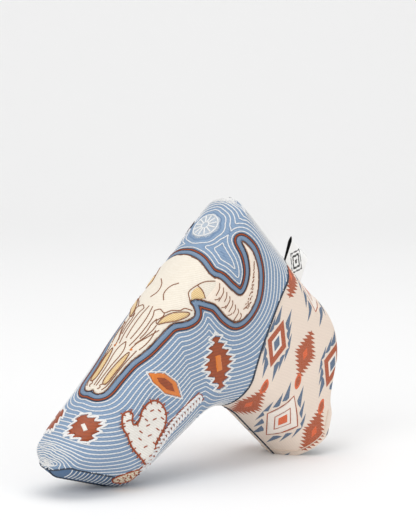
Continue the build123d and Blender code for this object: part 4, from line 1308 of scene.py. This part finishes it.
beige_thread = thread("beige_polyester_thread", "#E6D3C2", "#C9B29E")
at_mouth = to_mouth < 0.05
for side, skin, leans in (("front", front_skin, front_lean), ("back", back_skin, back_lean)):
    own = facets[~under_flap]
    runs = []
    for chain in edge_runs(own, at_mouth):
        fine = divided(np.concatenate([skin[chain] - leans[chain] * 0.8, leans[chain]], 1), 1.0)
        runs.append((fine[:, :3], fine[:, 3:]))
    p, t, n = joined(runs)
    hem = sew(f"mouth_hem_{side}", p, t, n, hem_canvas, body="cover", slot="binding_tape", half_width=0.6,
              half_height=0.8, stitch=6.0, swell=0.08, sides=10)
    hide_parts(f"mouth_binding_{side}")
    p, t, n = level_lines(skin, leans, to_mouth, [3.2], own, 0.12)
    sew(f"mouth_topstitch_{side}", p, t, n, beige_thread, half_width=0.22, stitch=2.6, swell=0.6, **stitched)


# ---- Inside of the flap ---------------------------------------------------------------------------
# The flap's plush lining, the canvas binding that closes its edge, the stiff hook tape sewn near
# its end and the loop tape sewn on the back of the neck under it.

outer_back = back_skin * (1, flap_depth, 1)
back_own, front_own = facets[flap_back], facets[front_strip]
count = len(plan)
inner_points = np.concatenate([front_skin - front_lean * 3.6, outer_back - back_lean * 3.4])
inner_faces = np.concatenate([front_own[:, ::-1], back_own + count])
used, inner_faces = np.unique(inner_faces, return_inverse=True)
flap_lining = add_piece("flap_lining_plush", inner_points[used], inner_faces.reshape(-1, 3), plush, None,
                        np.concatenate([pattern, pattern])[used], weld=0.02)
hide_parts("flap_lining")
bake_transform(flap_lining)

runs = []
for chain in edge_runs(back_own, np.ones(count, bool)):
    inner = ~on_fold[chain] if on_fold[chain].any() else np.ones(len(chain), bool)
    chain = chain[inner]
    fine = divided(np.concatenate([outer_back[chain] - back_lean[chain] * 1.75, back_lean[chain]], 1), 1.0)
    runs.append((fine[:, :3], fine[:, 3:]))
p, t, n = joined(runs)
binding = sew("flap_binding_tape", p, t, n, hem_canvas, body="closure_flap", slot="binding_tape", half_width=0.8,
              half_height=2.1, stitch=6.0, swell=0.05, sides=12)
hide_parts("flap_binding")


def pile_tape(name, colour, shade, pitch):
    """Hook and loop tape: rows of tiny nylon hooks or loops on a woven ground."""
    material, tree, shader = new_material(name)
    place = node(tree, "ShaderNodeTexCoord").outputs["Object"]
    cells = node(tree, "ShaderNodeTexVoronoi", {"Vector": place, "Scale": 1000 / pitch, "Randomness": 0.35})
    share = node(tree, "ShaderNodeMapRange", {"Value": cells.outputs["Distance"], "From Min": 0.0, "From Max": 0.6})
    mixed = node(tree, "ShaderNodeMix", {0: share.outputs[0], 6: linear(colour), 7: linear(shade)}, data_type="RGBA")
    tree.links.new(mixed.outputs[2], shader.inputs["Base Color"])
    relief = node(tree, "ShaderNodeBump", {"Strength": 0.8, "Distance": 0.0005, "Height": cells.outputs["Distance"]},
                  invert=True)
    tree.links.new(relief.outputs[0], shader.inputs["Normal"])
    shader.inputs["Roughness"].default_value = 0.75
    return material


tapes = {"hook_patch": pile_tape("black_nylon_hook_tape", "#2A2B2E", "#0C0C0E", 1.6),
         "loop_patch": pile_tape("black_nylon_loop_tape", "#303236", "#111214", 0.9)}
for name, material in tapes.items():
    for holder in frame["nodes"][name].material_slots:
        holder.material = material


# ---- Woven label --------------------------------------------------------------------------------
# A white satin ribbon folded double and caught in the heel seam by its cut ends. A plain black
# geometric mark is woven into each outer face, and the back of the weave inside is black.

label_weave, tree, shader = new_material("white_woven_label")
flat = node(tree, "ShaderNodeUVMap", uv_map="pattern").outputs[0]
ribbing = node(tree, "ShaderNodeTexWave", {"Vector": flat, "Scale": 0.314 / 0.5, "Distortion": 0.2},
               bands_direction="Y")
mark = node(tree, "ShaderNodeAttribute", attribute_name="ink")
tree.links.new(mark.outputs["Color"], shader.inputs["Base Color"])
relief = node(tree, "ShaderNodeBump", {"Strength": 0.35, "Distance": 0.0001, "Height": ribbing.outputs["Fac"]})
tree.links.new(relief.outputs[0], shader.inputs["Normal"])
shader.inputs["Roughness"].default_value = 0.5
shader.inputs["Sheen Weight"].default_value = 0.3

label_from, label_to = 60.0, 77.0       # where the label leaves the heel edge
label_out, gape = 15.5, 1.6             # how far it sticks out, and half its opening at the fold
wides = np.linspace(0, 1, 35)
turns = np.linspace(0, 1, 81)
label_points, label_uv = [], []
for t in turns:
    side = -1 if t < 0.5 else 1
    out = -2.5 + (label_out + 2.5) * (1 - abs(2 * t - 1) ** 1.0)
    open_by = gape * min(1, (label_out - out) / 3) ** 0.5 * (0.35 + 0.65 * max(0, out) / label_out)
    for w in wides:
        along = label_from + (label_to - label_from) * w - 0.42 * max(0, out)
        place = on_heel(along, -out)
        bow = 0.9 * math.sin(w * 2.6 + 0.3) * (max(0, out) / label_out) ** 2
        label_points.append((place[0], side * open_by + bow, place[1]))
        label_uv.append((w * 17.0, t * 34.0))
columns = len(wides)
label_faces = [(r * columns + c, r * columns + c + 1, (r + 1) * columns + c + 1, (r + 1) * columns + c)
               for r in range(len(turns) - 1) for c in range(columns - 1)]
label = add_piece("woven_label_ribbon", label_points, label_faces, label_weave, "cover", label_uv,
                  weld=0)
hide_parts("woven_label")
inner_points = np.array(label_points)
inner_points[:, 1] -= np.where(np.arange(len(inner_points)) < len(inner_points) / 2, -0.2, 0.2)
inner_points -= np.array((1, 0, 0)) * 0.15
black_back = thread("black_back_of_label_weave", "#17181B", "#0B0C0E", 0.8)
label_back = add_piece("woven_label_back", inner_points, label_faces, black_back, "cover", label_uv,
                       weld=0)
weave_ink = label.data.color_attributes.new("ink", "FLOAT_COLOR", "CORNER")
tints = []
for r, c in ((f // (columns - 1), f % (columns - 1)) for f in range(len(label_faces))):
    x, y = (wides[c] + wides[c + 1]) / 2 * 17, (turns[r] + turns[r + 1]) / 2 * 34
    y = y if y < 17 else 34 - y
    u, v = abs(x - 8.5), abs(y - 9.5)
    dark = 3.0 < u + v < 4.3 or 5.6 < u + v < 6.4 or u + v < 1.2
    tints += [linear("#1C1D20" if dark else "#F3F3F1")] * 4
weave_ink.data.foreach_set("color", np.array(tints).ravel())
